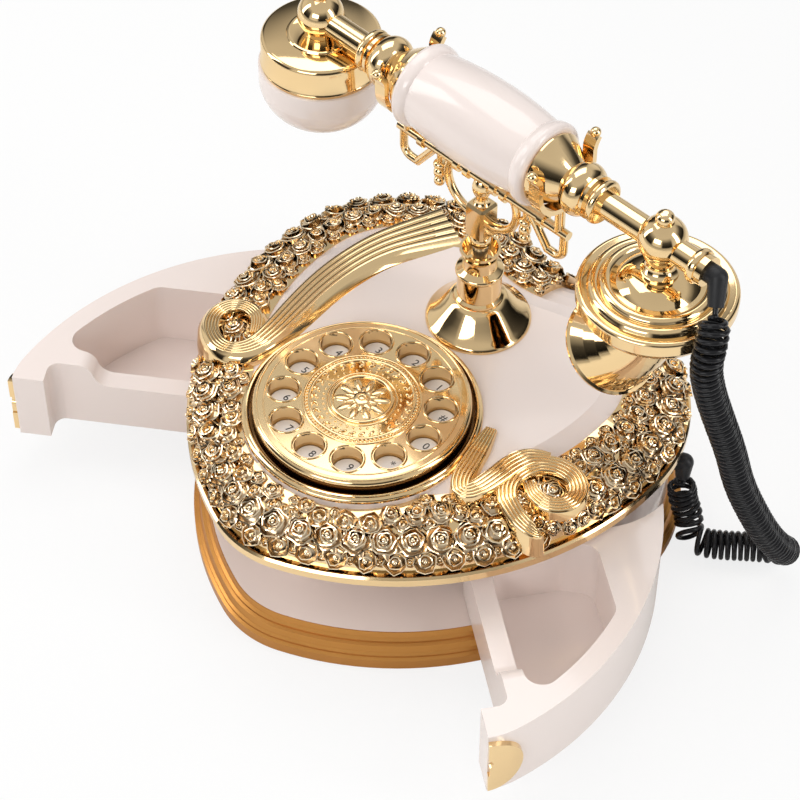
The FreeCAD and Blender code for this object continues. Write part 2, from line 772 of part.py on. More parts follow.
def rose_room(p, r, trims):
    """Radius a rose of r can have at p beside the dial, the ribbons and the bare wedge."""
    room = min(r, math.hypot(p.x, p.y - DIAL_Y) - BEZEL_R - ROSE_GAP)
    room = min(room, trims.distToShape(Part.Vertex(p))[0] - ROSE_GAP)
    if p.y > 0 and p.x < (BAND_GAP_X0 + BAND_GAP_X1) / 2:
        room = min(room, BAND_GAP_X0 - p.x)
    elif p.y > 0:
        room = min(room, p.x - BAND_GAP_X1)
    return room


def rim_roses(trims):
    """Rows of roses that stand square on the band's shoulder."""
    roses = []
    for inset, r in ROSE_ROWS:
        row = heart_wire(inset, shoulder_height(inset))
        slope = math.atan2(shoulder_height(inset + r / 2) - shoulder_height(inset - r / 2), r)
        spots = row.discretize(Number=int(row.Length / (2 * r + ROSE_GAP)) + 1)[:-1]
        for k, p in enumerate(spots):
            room = rose_room(p, r, trims)
            if room < r * ROSE_LEAST:
                continue
            run = spots[(k + 1) % len(spots)] - spots[k - 1]
            flower = rose(room)
            flower.rotate(V(0, 0, 0), run, math.degrees(slope))
            flower.translate(p)
            roses.append(flower)
    bed = case_top()
    return Part.makeCompound([flower.cut(bed) for flower in roses])


def well_places():
    """Angle and centre of each finger well, first key first, going anticlockwise."""
    places = []
    for k in range(WELL_COUNT):
        a = math.radians(FIRST_KEY_ANGLE + 360.0 * k / WELL_COUNT)
        places.append((a, WELL_PITCH_R * math.cos(a), DIAL_Y + WELL_PITCH_R * math.sin(a)))
    return places


def wells():
    return [cylinder(x, y, TOP_Z, DIAL_TOP, WELL_R) for a, x, y in well_places()]


HUB_R = WELL_PITCH_R - WELL_R + HUB_MARGIN
RIM_R = WELL_PITCH_R + WELL_R - HUB_MARGIN


def dial_hub():
    points = [(0, TOP_Z), (HUB_R, TOP_Z), (HUB_R, DIAL_TOP)]
    for share in HUB_RINGS:
        r = HUB_R * share
        points.append((r + HUB_BEAD, DIAL_TOP))
        points.append(((r, DIAL_TOP + HUB_BEAD), (r - HUB_BEAD, DIAL_TOP)))
    boss = DIAL_TOP + HUB_BOSS_H
    points.append((HUB_BOSS_R, DIAL_TOP))
    points.append(((HUB_BOSS_R * 0.72, DIAL_TOP + HUB_BOSS_H * 0.75), (HUB_BOSS_R * 0.3, boss)))
    return lathe(points + [(0, boss)], 0, DIAL_Y).cut(wells())


def dial_rim():
    points = [(RIM_R, TOP_Z), (DIAL_R - 1.6, TOP_Z), (DIAL_R, TOP_Z + 1.6), (DIAL_R, DIAL_TOP - 2.4),
              ((DIAL_R - 0.7, DIAL_TOP - 0.7), (DIAL_R - 2.4, DIAL_TOP)), (RIM_R, DIAL_TOP)]
    return lathe(points, 0, DIAL_Y).cut(wells())


def dial_webs():
    ring = cylinder(0, DIAL_Y, TOP_Z, DIAL_TOP, RIM_R).cut(cylinder(0, DIAL_Y, TOP_Z, DIAL_TOP, HUB_R))
    return ring.cut(wells())


def dial_bezel():
    bore = DIAL_R + BEZEL_GAP
    z1 = TOP_Z + BEZEL_T
    points = [(bore, TOP_Z), (BEZEL_R, TOP_Z), (BEZEL_R, TOP_Z + 1.6),
              ((BEZEL_R - 0.6, TOP_Z + 2.6), (BEZEL_R - 1.8, TOP_Z + 3.0)),
              (BEZEL_R - 1.8, TOP_Z + 3.6), ((BEZEL_R - 2.4, z1 - 0.3), (BEZEL_R - 3.2, z1)), (bore, z1)]
    return lathe(points, 0, DIAL_Y)


def key(x, y):
    """Key seated under the dial face, with its stem over the membrane."""
    top = DIAL_TOP - KEY_DEPTH
    flange = TOP_Z - KEY_PLAY
    foot = KEY_FOOT_Z
    cap_r = WELL_R - KEY_PLAY
    points = [(0, foot), (KEY_STEM_R, foot), (KEY_STEM_R, flange - KEY_FLANGE_T),
              (WELL_R + KEY_FLANGE, flange - KEY_FLANGE_T), (WELL_R + KEY_FLANGE, flange),
              (cap_r, flange), (cap_r, top - 0.6), (cap_r - 0.6, top), (0, top)]
    return lathe(points, x, y)


def keypad_board():
    return cylinder(0, DIAL_Y, KEY_BOARD_Z, KEY_BOARD_Z + BOARD_T, BOARD_R)


def keypad_membrane():
    z = KEY_BOARD_Z + BOARD_T
    sheet = cylinder(0, DIAL_Y, z, z + MEMBRANE_T, BOARD_R)
    domes = [Part.makeCone(KEY_STEM_R + 1.5, KEY_STEM_R, DOME_H, V(x, y, z + MEMBRANE_T))
             for a, x, y in well_places()]
    return fuse([sheet] + domes)


BELL_BORE_R = 6.2


def pedestal_bell():
    z0 = TOP_Z
    points = [(BELL_BORE_R, z0), (PED_FLANGE_R, z0), (PED_FLANGE_R, z0 + 1.0),
              ((PED_FLANGE_R - 0.5, z0 + 1.9), (PED_FLANGE_R - 1.6, z0 + 2.2)),
              ((PED_FLANGE_R * 0.6, z0 + 5.6), (COLLAR_R + 0.6, BELL_TOP)), (BELL_BORE_R, BELL_TOP)]
    return lathe(points, 0, PED_Y)


CUP_R = 9.4
CUP_DEPTH = 6.0


def pedestal_collar():
    z0 = BELL_TOP
    z1 = COLLAR_TOP
    bore = PLUNGER_R + PLUNGER_PLAY
    points = [(bore, z0), (COLLAR_R + 1.2, z0), (COLLAR_R + 1.2, z0 + 1.4), (COLLAR_R, z0 + 2.4),
              (COLLAR_R, z0 + 14.5), ((COLLAR_R + 0.9, z0 + 16.0), (COLLAR_R, z0 + 17.5)),
              (COLLAR_R - 2.2, z0 + 19.0), ((COLLAR_R - 2.4, z0 + 23.0), (CUP_R, z1 - 1.4)),
              (CUP_R, z1), (CUP_R - 1.2, z1), (CUP_R - 3.4, z1 - CUP_DEPTH), (bore, z1 - CUP_DEPTH)]
    return lathe(points, 0, PED_Y)


SPRING_SEAT_R = 10.0
SPRING_SEAT_T = 2.0
HOOK_ROOM = 0.5
SPRING_SEAT_Z = TOP_Z - SHELL_T - HOOK_ROOM - HOOK_TRAVEL - SPRING_SEAT_T
PLUNGER_FOOT = 8.0
SPRING_R = 5.6
SPRING_WIRE = 1.2


def hook_plunger():
    foot = SPRING_SEAT_Z - PLUNGER_FOOT
    points = [(0, foot), (PLUNGER_R, foot), (PLUNGER_R, SPRING_SEAT_Z), (SPRING_SEAT_R, SPRING_SEAT_Z),
              (SPRING_SEAT_R, SPRING_SEAT_Z + SPRING_SEAT_T), (PLUNGER_R, SPRING_SEAT_Z + SPRING_SEAT_T),
              (PLUNGER_R, COLLAR_TOP), (0, COLLAR_TOP)]
    return lathe(points, 0, PED_Y)


def hook_spring():
    """Room of the return spring under the plunger's seat."""
    outer = cylinder(0, PED_Y, LIP_Z0, SPRING_SEAT_Z, SPRING_R)
    return outer.cut(cylinder(0, PED_Y, LIP_Z0, SPRING_SEAT_Z, SPRING_R - SPRING_WIRE))


SWITCH_L = 8.0
SWITCH_W = 12.0
SWITCH_GAP = 1.0
SWITCH_BUTTON_R = 1.4
SWITCH_BUTTON_H = 3.0
SWITCH_CLEAR = 0.4


def hook_switch():
    """Contact beside the spring, worked by the plunger's seat."""
    x0 = SPRING_R + SWITCH_GAP
    top = SPRING_SEAT_Z - SWITCH_CLEAR
    deck = top - SWITCH_BUTTON_H
    body = box(x0, x0 + SWITCH_L, PED_Y - SWITCH_W / 2, PED_Y + SWITCH_W / 2, LIP_Z0, deck)
    return body.fuse(cylinder(x0 + SWITCH_BUTTON_R, PED_Y, deck, top, SWITCH_BUTTON_R))


def placed(shape):
    """Turns and carries a cradle or handset piece to its place over the pedestal."""
    moved = shape.copy()
    moved.rotate(V(0, 0, 0), UP, CRADLE_YAW)
    moved.translate(V(0, PED_Y, 0))
    return moved


def cradle_yoke():
    ball_z = COLLAR_TOP + BALL_R
    z0 = ball_z + BALL_R - 1.0
    z1 = z0 + BLOCK_H
    ball = Part.makeSphere(BALL_R, V(0, 0, ball_z))
    neck = cylinder(0, 0, COLLAR_TOP, z0 + 1.0, BALL_R * 0.55)
    half = BLOCK_W / 2
    block = box(-half, half, -half, half, z0, z1)
    block = block.makeChamfer(1.2, block.Edges)
    baluster = lathe([(0, z1 - 0.5), (4.6, z1 - 0.5), ((2.6, z1 + 3.0), (3.2, z1 + 5.0)),
                      ((4.4, z1 + 8.0), (3.0, BAR_Z)), (0, BAR_Z)])
    arms = []
    for s in (-1, 1):
        start = V(s * (half - 0.6), 0, z0 + BLOCK_H * 0.5)
        low = V(s * 13.5, 0, z0 + BLOCK_H * 0.62)
        end = V(s * 18.5, 0, BAR_Z)
        arms.append(tube([start, (low, end)], 2.0))
    bar = Part.makeCylinder(BAR_R, BAR_HALF * 2, V(-BAR_HALF, 0, BAR_Z), V(1, 0, 0))
    whole = fuse([ball, neck, block, baluster] + arms)
    whole = whole.cut(bar).cut(box(-BAR_HALF, BAR_HALF, -BAR_HALF, BAR_HALF, BAR_Z, AXIS_Z))
    return max(whole.Solids, key=lambda s: s.Volume)


BEAD_R = 3.5
BEAD_W = 3.0
BEAD_PLACES = (8.0, 14.0, 36.0)


def tassel(x):
    """Beaded drop under the bar, as one turned finial."""
    z = BAR_Z
    points = [(0, z), (1.4, z), (1.4, z - 6), ((3.0, z - 8), (1.4, z - 10)),
              ((2.8, z - 13), (1.6, z - 15.5)), ((2.6, z - 18), (0.8, z - 20.5)), (0, z - 20.5)]
    return lathe(points, x, 0)


def cradle_bar():
    """Cross bar with turned beads, end loops and hanging drops."""
    bar = Part.makeCylinder(BAR_R, BAR_HALF * 2, V(-BAR_HALF, 0, BAR_Z), V(1, 0, 0))
    pieces = [bar]
    r = BAR_R * 0.85
    for s in (-1, 1):
        for x in BEAD_PLACES:
            pieces.append(Part.makeCylinder(BEAD_R, BEAD_W, V(s * x - BEAD_W / 2, 0, BAR_Z), V(1, 0, 0)))
        end = s * (BAR_HALF - r - LOOP_EDGE)
        back = end - s * LOOP_W
        low = BAR_Z - LOOP_DROP
        turn = 5.0
        k = turn * (1 - math.sqrt(0.5))
        pieces.append(tube([V(end, 0, BAR_Z), V(end, 0, low + turn),
                            (V(end - s * k, 0, low + k), V(end - s * turn, 0, low)),
                            V(end - s * turn * 1.8, 0, low), V(back, 0, BAR_Z)], r))
        pieces.append(tassel(s * TASSEL_X))
    return fuse(pieces)


def bell_radius(x0, x1):
    """Largest radius of the grip's end bell between two places along the handset."""
    big = BELL_MOUTH_R * 2
    return connector(1).common(box(x0, x1, -big, big, AXIS_Z - big, AXIS_Z + big)).BoundBox.ZMax - AXIS_Z


def prong(s):
    """U-shaped fork that the handset's end bell lies in."""
    r_in = bell_radius(PRONG_X - PRONG_W / 2, PRONG_X + PRONG_W / 2) + PRONG_PLAY
    r_out = r_in + PRONG_T
    x0 = s * PRONG_X - PRONG_W / 2

    def at(y, z):
        return V(x0, y, AXIS_Z + z)
    rise = PRONG_RISE
    profile = [at(-r_in, rise), at(-r_in, 0), (at(0, -r_in), at(r_in, 0)), at(r_in, rise),
               (at(r_in + 0.8, rise + 4.0), at(r_in + 3.0, rise + 7.0)), at(r_in + 5.0, rise + 5.4),
               (at(r_out + 0.9, rise + 3.0), at(r_out, rise)), at(r_out, 0),
               (at(0, -r_out), at(-r_out, 0)), at(-r_out, rise),
               (at(-r_out - 0.9, rise + 3.0), at(-r_in - 5.0, rise + 5.4)), at(-r_in - 3.0, rise + 7.0),
               (at(-r_in - 0.8, rise + 4.0), at(-r_in, rise))]
    fork = Part.Face(Part.Wire(path_edges(profile))).extrude(V(PRONG_W, 0, 0))
    post = cylinder(s * PRONG_X, 0, BAR_Z, AXIS_Z - r_in - PRONG_T / 2, BAR_R)
    post = post.cut(Part.makeCylinder(BAR_R, BAR_HALF * 2, V(-BAR_HALF, 0, BAR_Z), V(1, 0, 0)))
    post = max(post.Solids, key=lambda p: p.CenterOfMass.z)
    tips = [Part.makeSphere(2.4, V(s * PRONG_X, t * (r_in + 4.2), AXIS_Z + rise + 7.0)) for t in (-1, 1)]
    return fuse([fork, post] + tips)


def cradle_prongs():
    return Part.makeCompound([prong(-1), prong(1)])


def handset_grip():
    h = GRIP_HALF
    bore = TIE_R + TIE_PLAY
    points = [(bore, -h), (GRIP_FLANGE_R - 2.4, -h),
              ((GRIP_FLANGE_R - 0.5, -h + 0.9), (GRIP_FLANGE_R, -h + 3.2)),
              ((GRIP_FLANGE_R - 0.4, -h + 5.4), (GRIP_NECK_R, -h + 7.4)),
              ((GRIP_R, 0), (GRIP_NECK_R, h - 7.4)),
              ((GRIP_FLANGE_R - 0.4, h - 5.4), (GRIP_FLANGE_R, h - 3.2)),
              ((GRIP_FLANGE_R - 0.5, h - 0.9), (GRIP_FLANGE_R - 2.4, h)), (bore, h)]
    return lathe_x(points)


def connector(s):
    """Turned end piece of the grip: bell, bulb and rings."""
    bore = TIE_R + TIE_PLAY
    x0 = GRIP_HALF
    end = CONNECTOR_END
    neck = BULB_X - 6.0
    points = [(bore, x0), (BELL_MOUTH_R - 0.8, x0), (BELL_MOUTH_R, x0 + 0.8), (BELL_MOUTH_R, x0 + 1.6),
              ((BELL_MOUTH_R - 3.0, x0 + 6.4), (8.8, neck)), ((BULB_R, BULB_X), (8.8, BULB_X + 6.0)),
              (10.0, BULB_X + 6.0), (10.0, BULB_X + 7.6), (8.4, BULB_X + 7.6), (8.4, BULB_X + 9.0),
              ((10.2, (BULB_X + 9.0 + end) / 2), (8.4, end)), (bore, end)]
    return lathe_x([(p[0], s * p[1]) if not isinstance(p[0], tuple)
                    else ((p[0][0], s * p[0][1]), (p[1][0], s * p[1][1])) for p in points])


def grip_connectors():
    return Part.makeCompound([connector(-1), connector(1)])


def knuckle(x):
    """Ball joint of the arm with its top finial and tapering stem."""
    z = AXIS_Z
    ball = Part.makeSphere(KNUCKLE_R, V(x, 0, z + 1.5))
    foot = STEM_Z
    stem = lathe([(0, foot), (8.2, foot), (8.2, foot + 1.6), ((6.0, foot + 3.4), (5.6, foot + 7.0)),
                  (7.4, foot + 9.5), (7.4, z), (0, z)], x, 0)
    nub = lathe([(0, z + 8), (4.0, z + 8), (4.0, z + 12.4), ((3.4, z + 15.2), (1.2, z + 16.4)),
                 (0, z + 16.4)], x, 0)
    return [ball, stem, nub]


def ear_arm():
    rod = Part.makeCylinder(ROD_R, KNUCKLE_X - CONNECTOR_END, V(-KNUCKLE_X, 0, AXIS_Z), V(1, 0, 0))
    tie = Part.makeCylinder(TIE_R, CONNECTOR_END * 2 + 1.0, V(-CONNECTOR_END - 1.0, 0, AXIS_Z), V(1, 0, 0))
    return fuse([rod, tie] + knuckle(-KNUCKLE_X))


def mouth_arm():
    x0 = CONNECTOR_END
    e = ROD_END
    seat = e - GROMMET_DEPTH
    rod = lathe_x([(0, x0), (ROD_R, x0), (ROD_R, e - 7.0), (7.4, e - 7.0), ((8.0, e - 5.0), (7.4, e - 3.4)),
                   (6.8, e - 3.4), (6.8, e), (BOOT_R, e), (BOOT_R, seat), (0, seat)])
    return fuse([rod] + knuckle(KNUCKLE_X))


def grommet_heading():
    """Way that the grommet's tail points on the unturned handset."""
    turn = math.radians(GROMMET_TURN)
    tilt = math.radians(GROMMET_TILT)
    return V(math.cos(tilt) * math.cos(turn), -math.cos(tilt) * math.sin(turn), -math.sin(tilt))


def cord_grommet():
    """Black bush in the rod's end, turned forwards and down to the cord."""
    x = ROD_END + BOOT_R
    x0 = ROD_END - GROMMET_DEPTH
    bush = Part.makeCylinder(BOOT_R, x - x0, V(x0, 0, AXIS_Z), V(1, 0, 0))
    corner = V(x, 0, AXIS_Z)
    ball = Part.makeSphere(BOOT_R, corner)
    tail = Part.makeCone(BOOT_R, BOOT_MOUTH_R, GROMMET_L, corner, grommet_heading())
    return fuse([bush, ball, tail])


def ear_cap():
    z1 = STEM_Z
    z0 = z1 - EAR_CAP_H
    r = EAR_R
    roof = z1 - EAR_ROOF_T
    wall = r - EAR_WALL
    points = [(0, roof), (wall, roof), (wall, z0), (r, z0), (r, z0 + 1.0),
              ((r + 0.8, z0 + 2.0), (r, z0 + 3.0)), (r, z1 - 2.6), ((r - 0.6, z1 - 0.6), (r - 2.4, z1)),
              (15.4, z1), ((14.6, z1 + 0.9), (13.8, z1)), (0, z1)]
    return lathe(points, -KNUCKLE_X, 0)


EAR_HOLES = 6
EAR_HOLE_R = 1.3


def ear_bowl():
    z1 = STEM_Z - EAR_CAP_H
    z0 = z1 - EAR_BOWL_H
    r = EAR_BOWL_R
    w = EAR_BOWL_WALL
    face_r = EAR_FACE_R
    points = [(face_r, z0), ((r - 4.2, z1 - EAR_BOWL_H * 0.62), (r, z1 - 3.0)), (r, z1), (r - w, z1),
              (r - w, z1 - 3.0), ((r - 4.2 - w, z1 - EAR_BOWL_H * 0.6), (face_r, z0 + w)),
              (0, z0 + w), (0, z0)]
    holes = [cylinder(-KNUCKLE_X, 0, z0, z0 + w, EAR_HOLE_R)]
    for k in range(EAR_HOLES):
        a = 2 * math.pi * k / EAR_HOLES
        x = -KNUCKLE_X + face_r / 2 * math.cos(a)
        holes.append(cylinder(x, face_r / 2 * math.sin(a), z0, z0 + w, EAR_HOLE_R))
    return lathe(points, -KNUCKLE_X, 0).cut(holes)


SPEAKER_R = 19.0
SPEAKER_H = 16.0


def ear_speaker():
    """Receiver capsule hung from the cap."""
    z1 = STEM_Z - EAR_ROOF_T
    r = SPEAKER_R
    h = SPEAKER_H
    points = [(0, z1), (r / 2, z1), (r / 2, z1 - h / 3), (r, z1 - h * 0.85), (r, z1 - h), (0, z1 - h)]
    return lathe(points, -KNUCKLE_X, 0)


MIC_SEAT_DEPTH = 5.0
MIC_R = 10.0
MIC_H = 6.0
MIC_HOLE_R = 5.0
MIC_HOLE_D = 1.5


def mouth_disc():
    """Stepped gold disc over the transmitter."""
    z1 = STEM_Z
    z0 = z1 - MOUTH_DISC_H
    r = MOUTH_R
    under = z1 - MIC_SEAT_DEPTH
    points = [(0, under), (MIC_R + 3.0, under), (20.0, z0 + 4.6), (r - 2.5, z0 + 3.6), (r - 2.5, z0),
              (r, z0), (r, z0 + 4.0),
              ((r - 0.8, z0 + 5.4), (r - 2.6, z0 + 5.6)), (r - 4.6, z0 + 5.2), (r - 5.2, z0 + 6.4),
              ((r - 7.0, z0 + 7.8), (r - 9.4, z0 + 7.2)), (r - 10.0, z0 + 8.6),
              ((r - 12.0, z0 + 9.8), (r - 14.4, z0 + 8.8)), (18.0, z0 + 9.0), ((13.4, z1 - 1.6), (8.2, z1)),
              (0, z1)]
    return lathe(points, KNUCKLE_X, 0)


def mouth_dish():
    z1 = STEM_Z - MOUTH_DISC_H
    z0 = z1 - MOUTH_DISH_H
    r = MOUTH_R - 0.6
    w = DISH_WALL
    bore = HORN_R - HORN_WALL
    foot = HORN_R + 3.0
    points = [(bore, z0), (foot, z0), ((r - 5.0, z0 + 5.0), (r, z1 - 1.4)), (r, z1), (r - w, z1),
              ((r - 4.8 - w, z0 + 4.0 + w), (foot, z0 + w)), (bore, z0 + w)]
    return lathe(points, KNUCKLE_X, 0)


def horn_ring(t, thin):
    """Section of the horn at t from neck to mouth, as centre, axis and radius."""
    z0 = STEM_Z - MOUTH_DISC_H - MOUTH_DISH_H
    turn = math.radians(HORN_TILT) * t
    centre = V(KNUCKLE_X - HORN_REACH * t * t, 0, z0 - HORN_DROP * t)
    r = HORN_R + (HORN_MOUTH_R - HORN_R) * t * t - thin
    return centre, V(-math.sin(turn), 0, -math.cos(turn)), r


HORN_RINGS = 8
HORN_OVERRUN = 0.12


def horn_rings(thin, start, end):
    """Round sections of the horn between two places, drawn in by thin."""
    rings = []
    for k in range(HORN_RINGS + 1):
        centre, axis, r = horn_ring(start + (end - start) * k / HORN_RINGS, thin)
        rings.append(Part.Wire(Part.Circle(centre, axis, r).toShape()))
    return rings


def horn_lip():
    """Sections of the rolled rim round the horn's mouth."""
    centre, axis, r = horn_ring(1, 0)
    steps = ((HORN_LIP * 0.3, r + HORN_LIP / 2), (HORN_LIP * 0.7, r + HORN_LIP / 2), (HORN_LIP, r))
    return [Part.Wire(Part.Circle(centre + axis * reach, axis, size).toShape()) for reach, size in steps]


def mouth_horn():
    """Horn under the dish that bends in towards the speaker's mouth."""
    outer = Part.makeLoft(horn_rings(0, 0, 1) + horn_lip(), True, True)
    inner = Part.makeLoft(horn_rings(HORN_WALL, -HORN_OVERRUN, 1 + HORN_OVERRUN), True, True)
    return outer.cut(inner)


def microphone():
    z1 = STEM_Z - MIC_SEAT_DEPTH
    z0 = z1 - MIC_H
    return cylinder(KNUCKLE_X, 0, z0, z1, MIC_R).cut(cylinder(KNUCKLE_X, 0, z0, z0 + MIC_HOLE_D, MIC_HOLE_R))


def main_board():
    xs = [x for x, y in BOARD_POSTS]
    ys = [y for x, y in BOARD_POSTS]
    edge = BOARD_POST_R + BOARD_EDGE
    z = MAIN_BOARD_Z
    return box(min(xs) - edge, max(xs) + edge, min(ys) - edge, max(ys) + edge, z, z + BOARD_T)


RINGER_R = 16.0
RINGER_H = 13.0
RINGER_LIP = 2.0


def ringer():
    y = sum(y for x, y in BOARD_POSTS) / len(BOARD_POSTS)
    top = PLINTH_H + RINGER_H
    case = cylinder(0, y, PLINTH_H, top, RINGER_R)
    return case.cut(cylinder(0, y, top - RINGER_LIP, top, RINGER_R - RINGER_LIP))


def grommet_point(reach):
    """Point in front of the grommet's corner along its tail, on the placed handset."""
    return placed_point(V(ROD_END + BOOT_R, 0, AXIS_Z) + grommet_heading() * reach)


def placed_point(p):
    a = math.radians(CRADLE_YAW)
    return V(p.x * math.cos(a) - p.y * math.sin(a), p.x * math.sin(a) + p.y * math.cos(a) + PED_Y, p.z)


def cord_points():
    """Centre-line points of the cord from the grommet to the socket's boot."""
    start = grommet_point(GROMMET_L)
    lead = grommet_point(GROMMET_L + CORD_LEAD_TOP)
    end = boot_axis_point() - UP * BOOT_DROP
    middle = [V(*p) for p in CORD_ROUTE]
    return [start, lead] + middle + [end - UP * CORD_LEAD_END, end]


def rounded_runs(points):
    """Straight runs and the widest tangent arcs between them, as ('line'|'arc', data)."""
    pieces = []
    last = points[0]
    for a, b, c in zip(points, points[1:], points[2:]):
        run_in = (b - a).Length
        run_out = (c - b).Length
        d_in = (b - a) / run_in
        d_out = (c - b) / run_out
        turn = math.acos(max(-1.0, min(1.0, d_in * d_out)))
        cut = 0.45 * min(run_in, run_out)
        radius = cut / math.tan(turn / 2)
        p = b - d_in * cut
        q = b + d_out * cut
        inward = (d_out - d_in).normalize()
        centre = b + inward * (radius / math.cos(turn / 2))
        pieces.append(("line", last, p))
        pieces.append(("arc", p, q, centre, radius, turn, d_in))
        last = q
    pieces.append(("line", last, points[-1]))
    return pieces


def along_route(pieces, step):
    """Points with tangents every step along the rounded route."""
    samples = []
    left = 0.0
    for piece in pieces:
        if piece[0] == "line":
            length = (piece[2] - piece[1]).Length
        else:
            length = piece[4] * piece[5]
        s = left
        while s < length:
            if piece[0] == "line":
                t = (piece[2] - piece[1]) / length
                samples.append((piece[1] + t * s, t))
            else:
                turn = s / piece[4]
                out = (piece[1] - piece[3]) / piece[4]
                t = piece[6] * math.cos(turn) - out * math.sin(turn)
                around = out * math.cos(turn) + piece[6] * math.sin(turn)
                samples.append((piece[3] + around * piece[4], t))
            s += step
        left = s - length
    return samples


def carried_frames(samples):
    """Unit vectors across the route that turn with it and never twist."""
    side = samples[0][1].cross(V(0, 1, 0)).normalize()
    frames = []
    for p, t in samples:
        side = (side - t * (side * t)).normalize()
        frames.append((p, t, side, t.cross(side)))
    return frames


def biarc(p0, t0, p1, t1):
    """Two arcs that join two points along their tangents."""
    v = p1 - p0
    t = t0 + t1
    k = 2 * (1 - t0 * t1)
    vt = v * t
    d = (math.sqrt(vt * vt + k * (v * v)) - vt) / k if k > 1e-9 else (v * v) / (2 * vt)
    joint = (p0 + p1 + (t0 - t1) * d) * 0.5
    return [arc_from(p0, t0, joint), arc_from(p1, t1 * -1, joint)]


def arc_from(a, tangent, b):
    """Arc that leaves a along tangent and ends in b, as (a, mid, b)."""
    chord = b - a
    c = chord / chord.Length
    across = tangent - c * (tangent * c)
    half = math.acos(max(-1.0, min(1.0, tangent * c)))
    if across.Length < 1e-9:
        return (a, (a + b) * 0.5, b)
    return (a, (a + b) * 0.5 + across.normalize() * (chord.Length / 2 * math.tan(half / 2)), b)


CURL_PARTS = 4


def curl_nodes(pieces):
    """Helix points and tangents, a quarter turn apart, on the rounded route."""
    step = CORD_PITCH / CURL_PARTS
    frames = carried_frames(along_route(pieces, step))
    ease = CURL_PARTS * 1.5
    count = len(frames)
    places = []
    for k, (p, t, a, b) in enumerate(frames):
        edge = min(k, count - 1 - k) / ease
        r = CORD_COIL_R * min(1.0, edge)
        angle = 2 * math.pi * k / CURL_PARTS
        places.append(p + a * (r * math.cos(angle)) + b * (r * math.sin(angle)))
    return places, frames


def curly_cord():
    points = cord_points()
    pieces = rounded_runs(points)
    print("cord route radii", [round(p[4], 1) for p in pieces if p[0] == "arc"])
    tail = CORD_WIRE * 1.5
    first = points[0]
    last = points[-1]
    heading_in = (points[1] - points[0]).normalize()
    heading_out = (points[-1] - points[-2]).normalize()
    trimmed = [first + heading_in * tail] + points[1:-1] + [last - heading_out * tail]
    places, frames = curl_nodes(rounded_runs(trimmed))
    places = [first + heading_in * tail] + places[1:-1] + [last - heading_out * tail]
    tangents = [heading_in]
    for a, b in zip(places, places[2:]):
        tangents.append((b - a).normalize())
    tangents.append(heading_out)
    arcs = []
    for k in range(len(places) - 1):
        arcs += biarc(places[k], tangents[k], places[k + 1], tangents[k + 1])
    edges = [line(first, places[0])]
    for k, (a, mid, b) in enumerate(arcs):
        ends = (a, b) if k % 2 == 0 else (b, a)
        straight = ((a + b) * 0.5 - mid).Length < 1e-6
        edges.append(line(*ends) if straight else arc(ends[0], mid, ends[1]))
    edges.append(line(places[-1], last))
    report_cord(places, edges)
    path = Part.Wire(edges)
    shell = Part.BRepOffsetAPI.MakePipeShell(path)
    shell.add(Part.Wire(Part.Circle(first, heading_in, CORD_WIRE / 2).toShape()))
    shell.build()
    shell.makeSolid()
    return shell.shape()


def report_cord(places, edges):
    """Prints the curls, the wire's length and the least gap of the cord to itself."""
    dots = []
    for edge in edges:
        start = edge.FirstParameter
        span = edge.LastParameter - start
        dots += [edge.valueAt(start + span * k / 3) for k in range(3)]
    reach = int(CURL_PARTS * 2 * 3 * 0.6)
    window = CURL_PARTS * 2 * 3 * 3
    least = min((dots[i] - dots[j]).Length for i in range(len(dots))
                for j in range(i + reach, min(i + window, len(dots))))
    length = round(sum(edge.Length for edge in edges))
    print("cord curls", len(places) // CURL_PARTS, "wire length", length, "gap", round(least - CORD_WIRE, 2))


def build():
    shell = top_shell()
    band = rose_band()
    trims = ribbons()
    drawer = left_drawer_closed()
    plate = latch_plate_closed()
    nodes = {
        "base_plinth": base_plinth(), "bottom_cover": bottom_cover(), "rubber_pads": rubber_pads(),
        "bottom_screws": bottom_screws(), "bay_floor": bay_floor(), "rear_housing": rear_housing(),
        "centre_partition": centre_partition(), "bay_ceiling": bay_ceiling(), "hinge_pins": hinge_pins(),
        "line_jack": line_jack(), "cord_socket": cord_socket(),
        "main_board": main_board(), "ringer": ringer(),
        "top_shell": shell, "rose_band": band, "ribbons": trims,
        "rim_roses": rim_roses(trims),
        "dial_bezel": dial_bezel(), "dial_rim": dial_rim(), "dial_hub": dial_hub(), "dial_webs": dial_webs(),
        "keypad_membrane": keypad_membrane(), "keypad_board": keypad_board(),
        "pedestal_bell": pedestal_bell(), "pedestal_collar": pedestal_collar(),
        "hook_plunger": hook_plunger(), "hook_spring": hook_spring(), "hook_switch": hook_switch(),
        "left_drawer": opened(drawer, LEFT_OPEN), "right_drawer": mirror_x(opened(drawer, RIGHT_OPEN)),
        "left_latch_plate": opened(plate, LEFT_OPEN),
        "right_latch_plate": mirror_x(opened(plate, RIGHT_OPEN)),
    }
    for name, (a, x, y) in zip(KEY_NAMES, well_places()):
        nodes["key_" + name] = key(x, y)
    for make in (cradle_yoke, cradle_bar, cradle_prongs, handset_grip, grip_connectors, ear_arm,
                 mouth_arm, cord_grommet, ear_cap, ear_bowl, ear_speaker, mouth_disc, mouth_dish,
                 mouth_horn, microphone):
        nodes[make.__name__] = placed(make())
    nodes["curly_cord"] = curly_cord()
    return nodes


os.makedirs("parts", exist_ok=True)
for node, shape in build().items():
    if not shape.isValid():
        print("not valid", node)
    shape.exportStep("parts/" + node + ".step")
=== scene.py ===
import math
import random
import bmesh
import bpy
from mathutils import Matrix, Vector
from mathutils.bvhtree import BVHTree


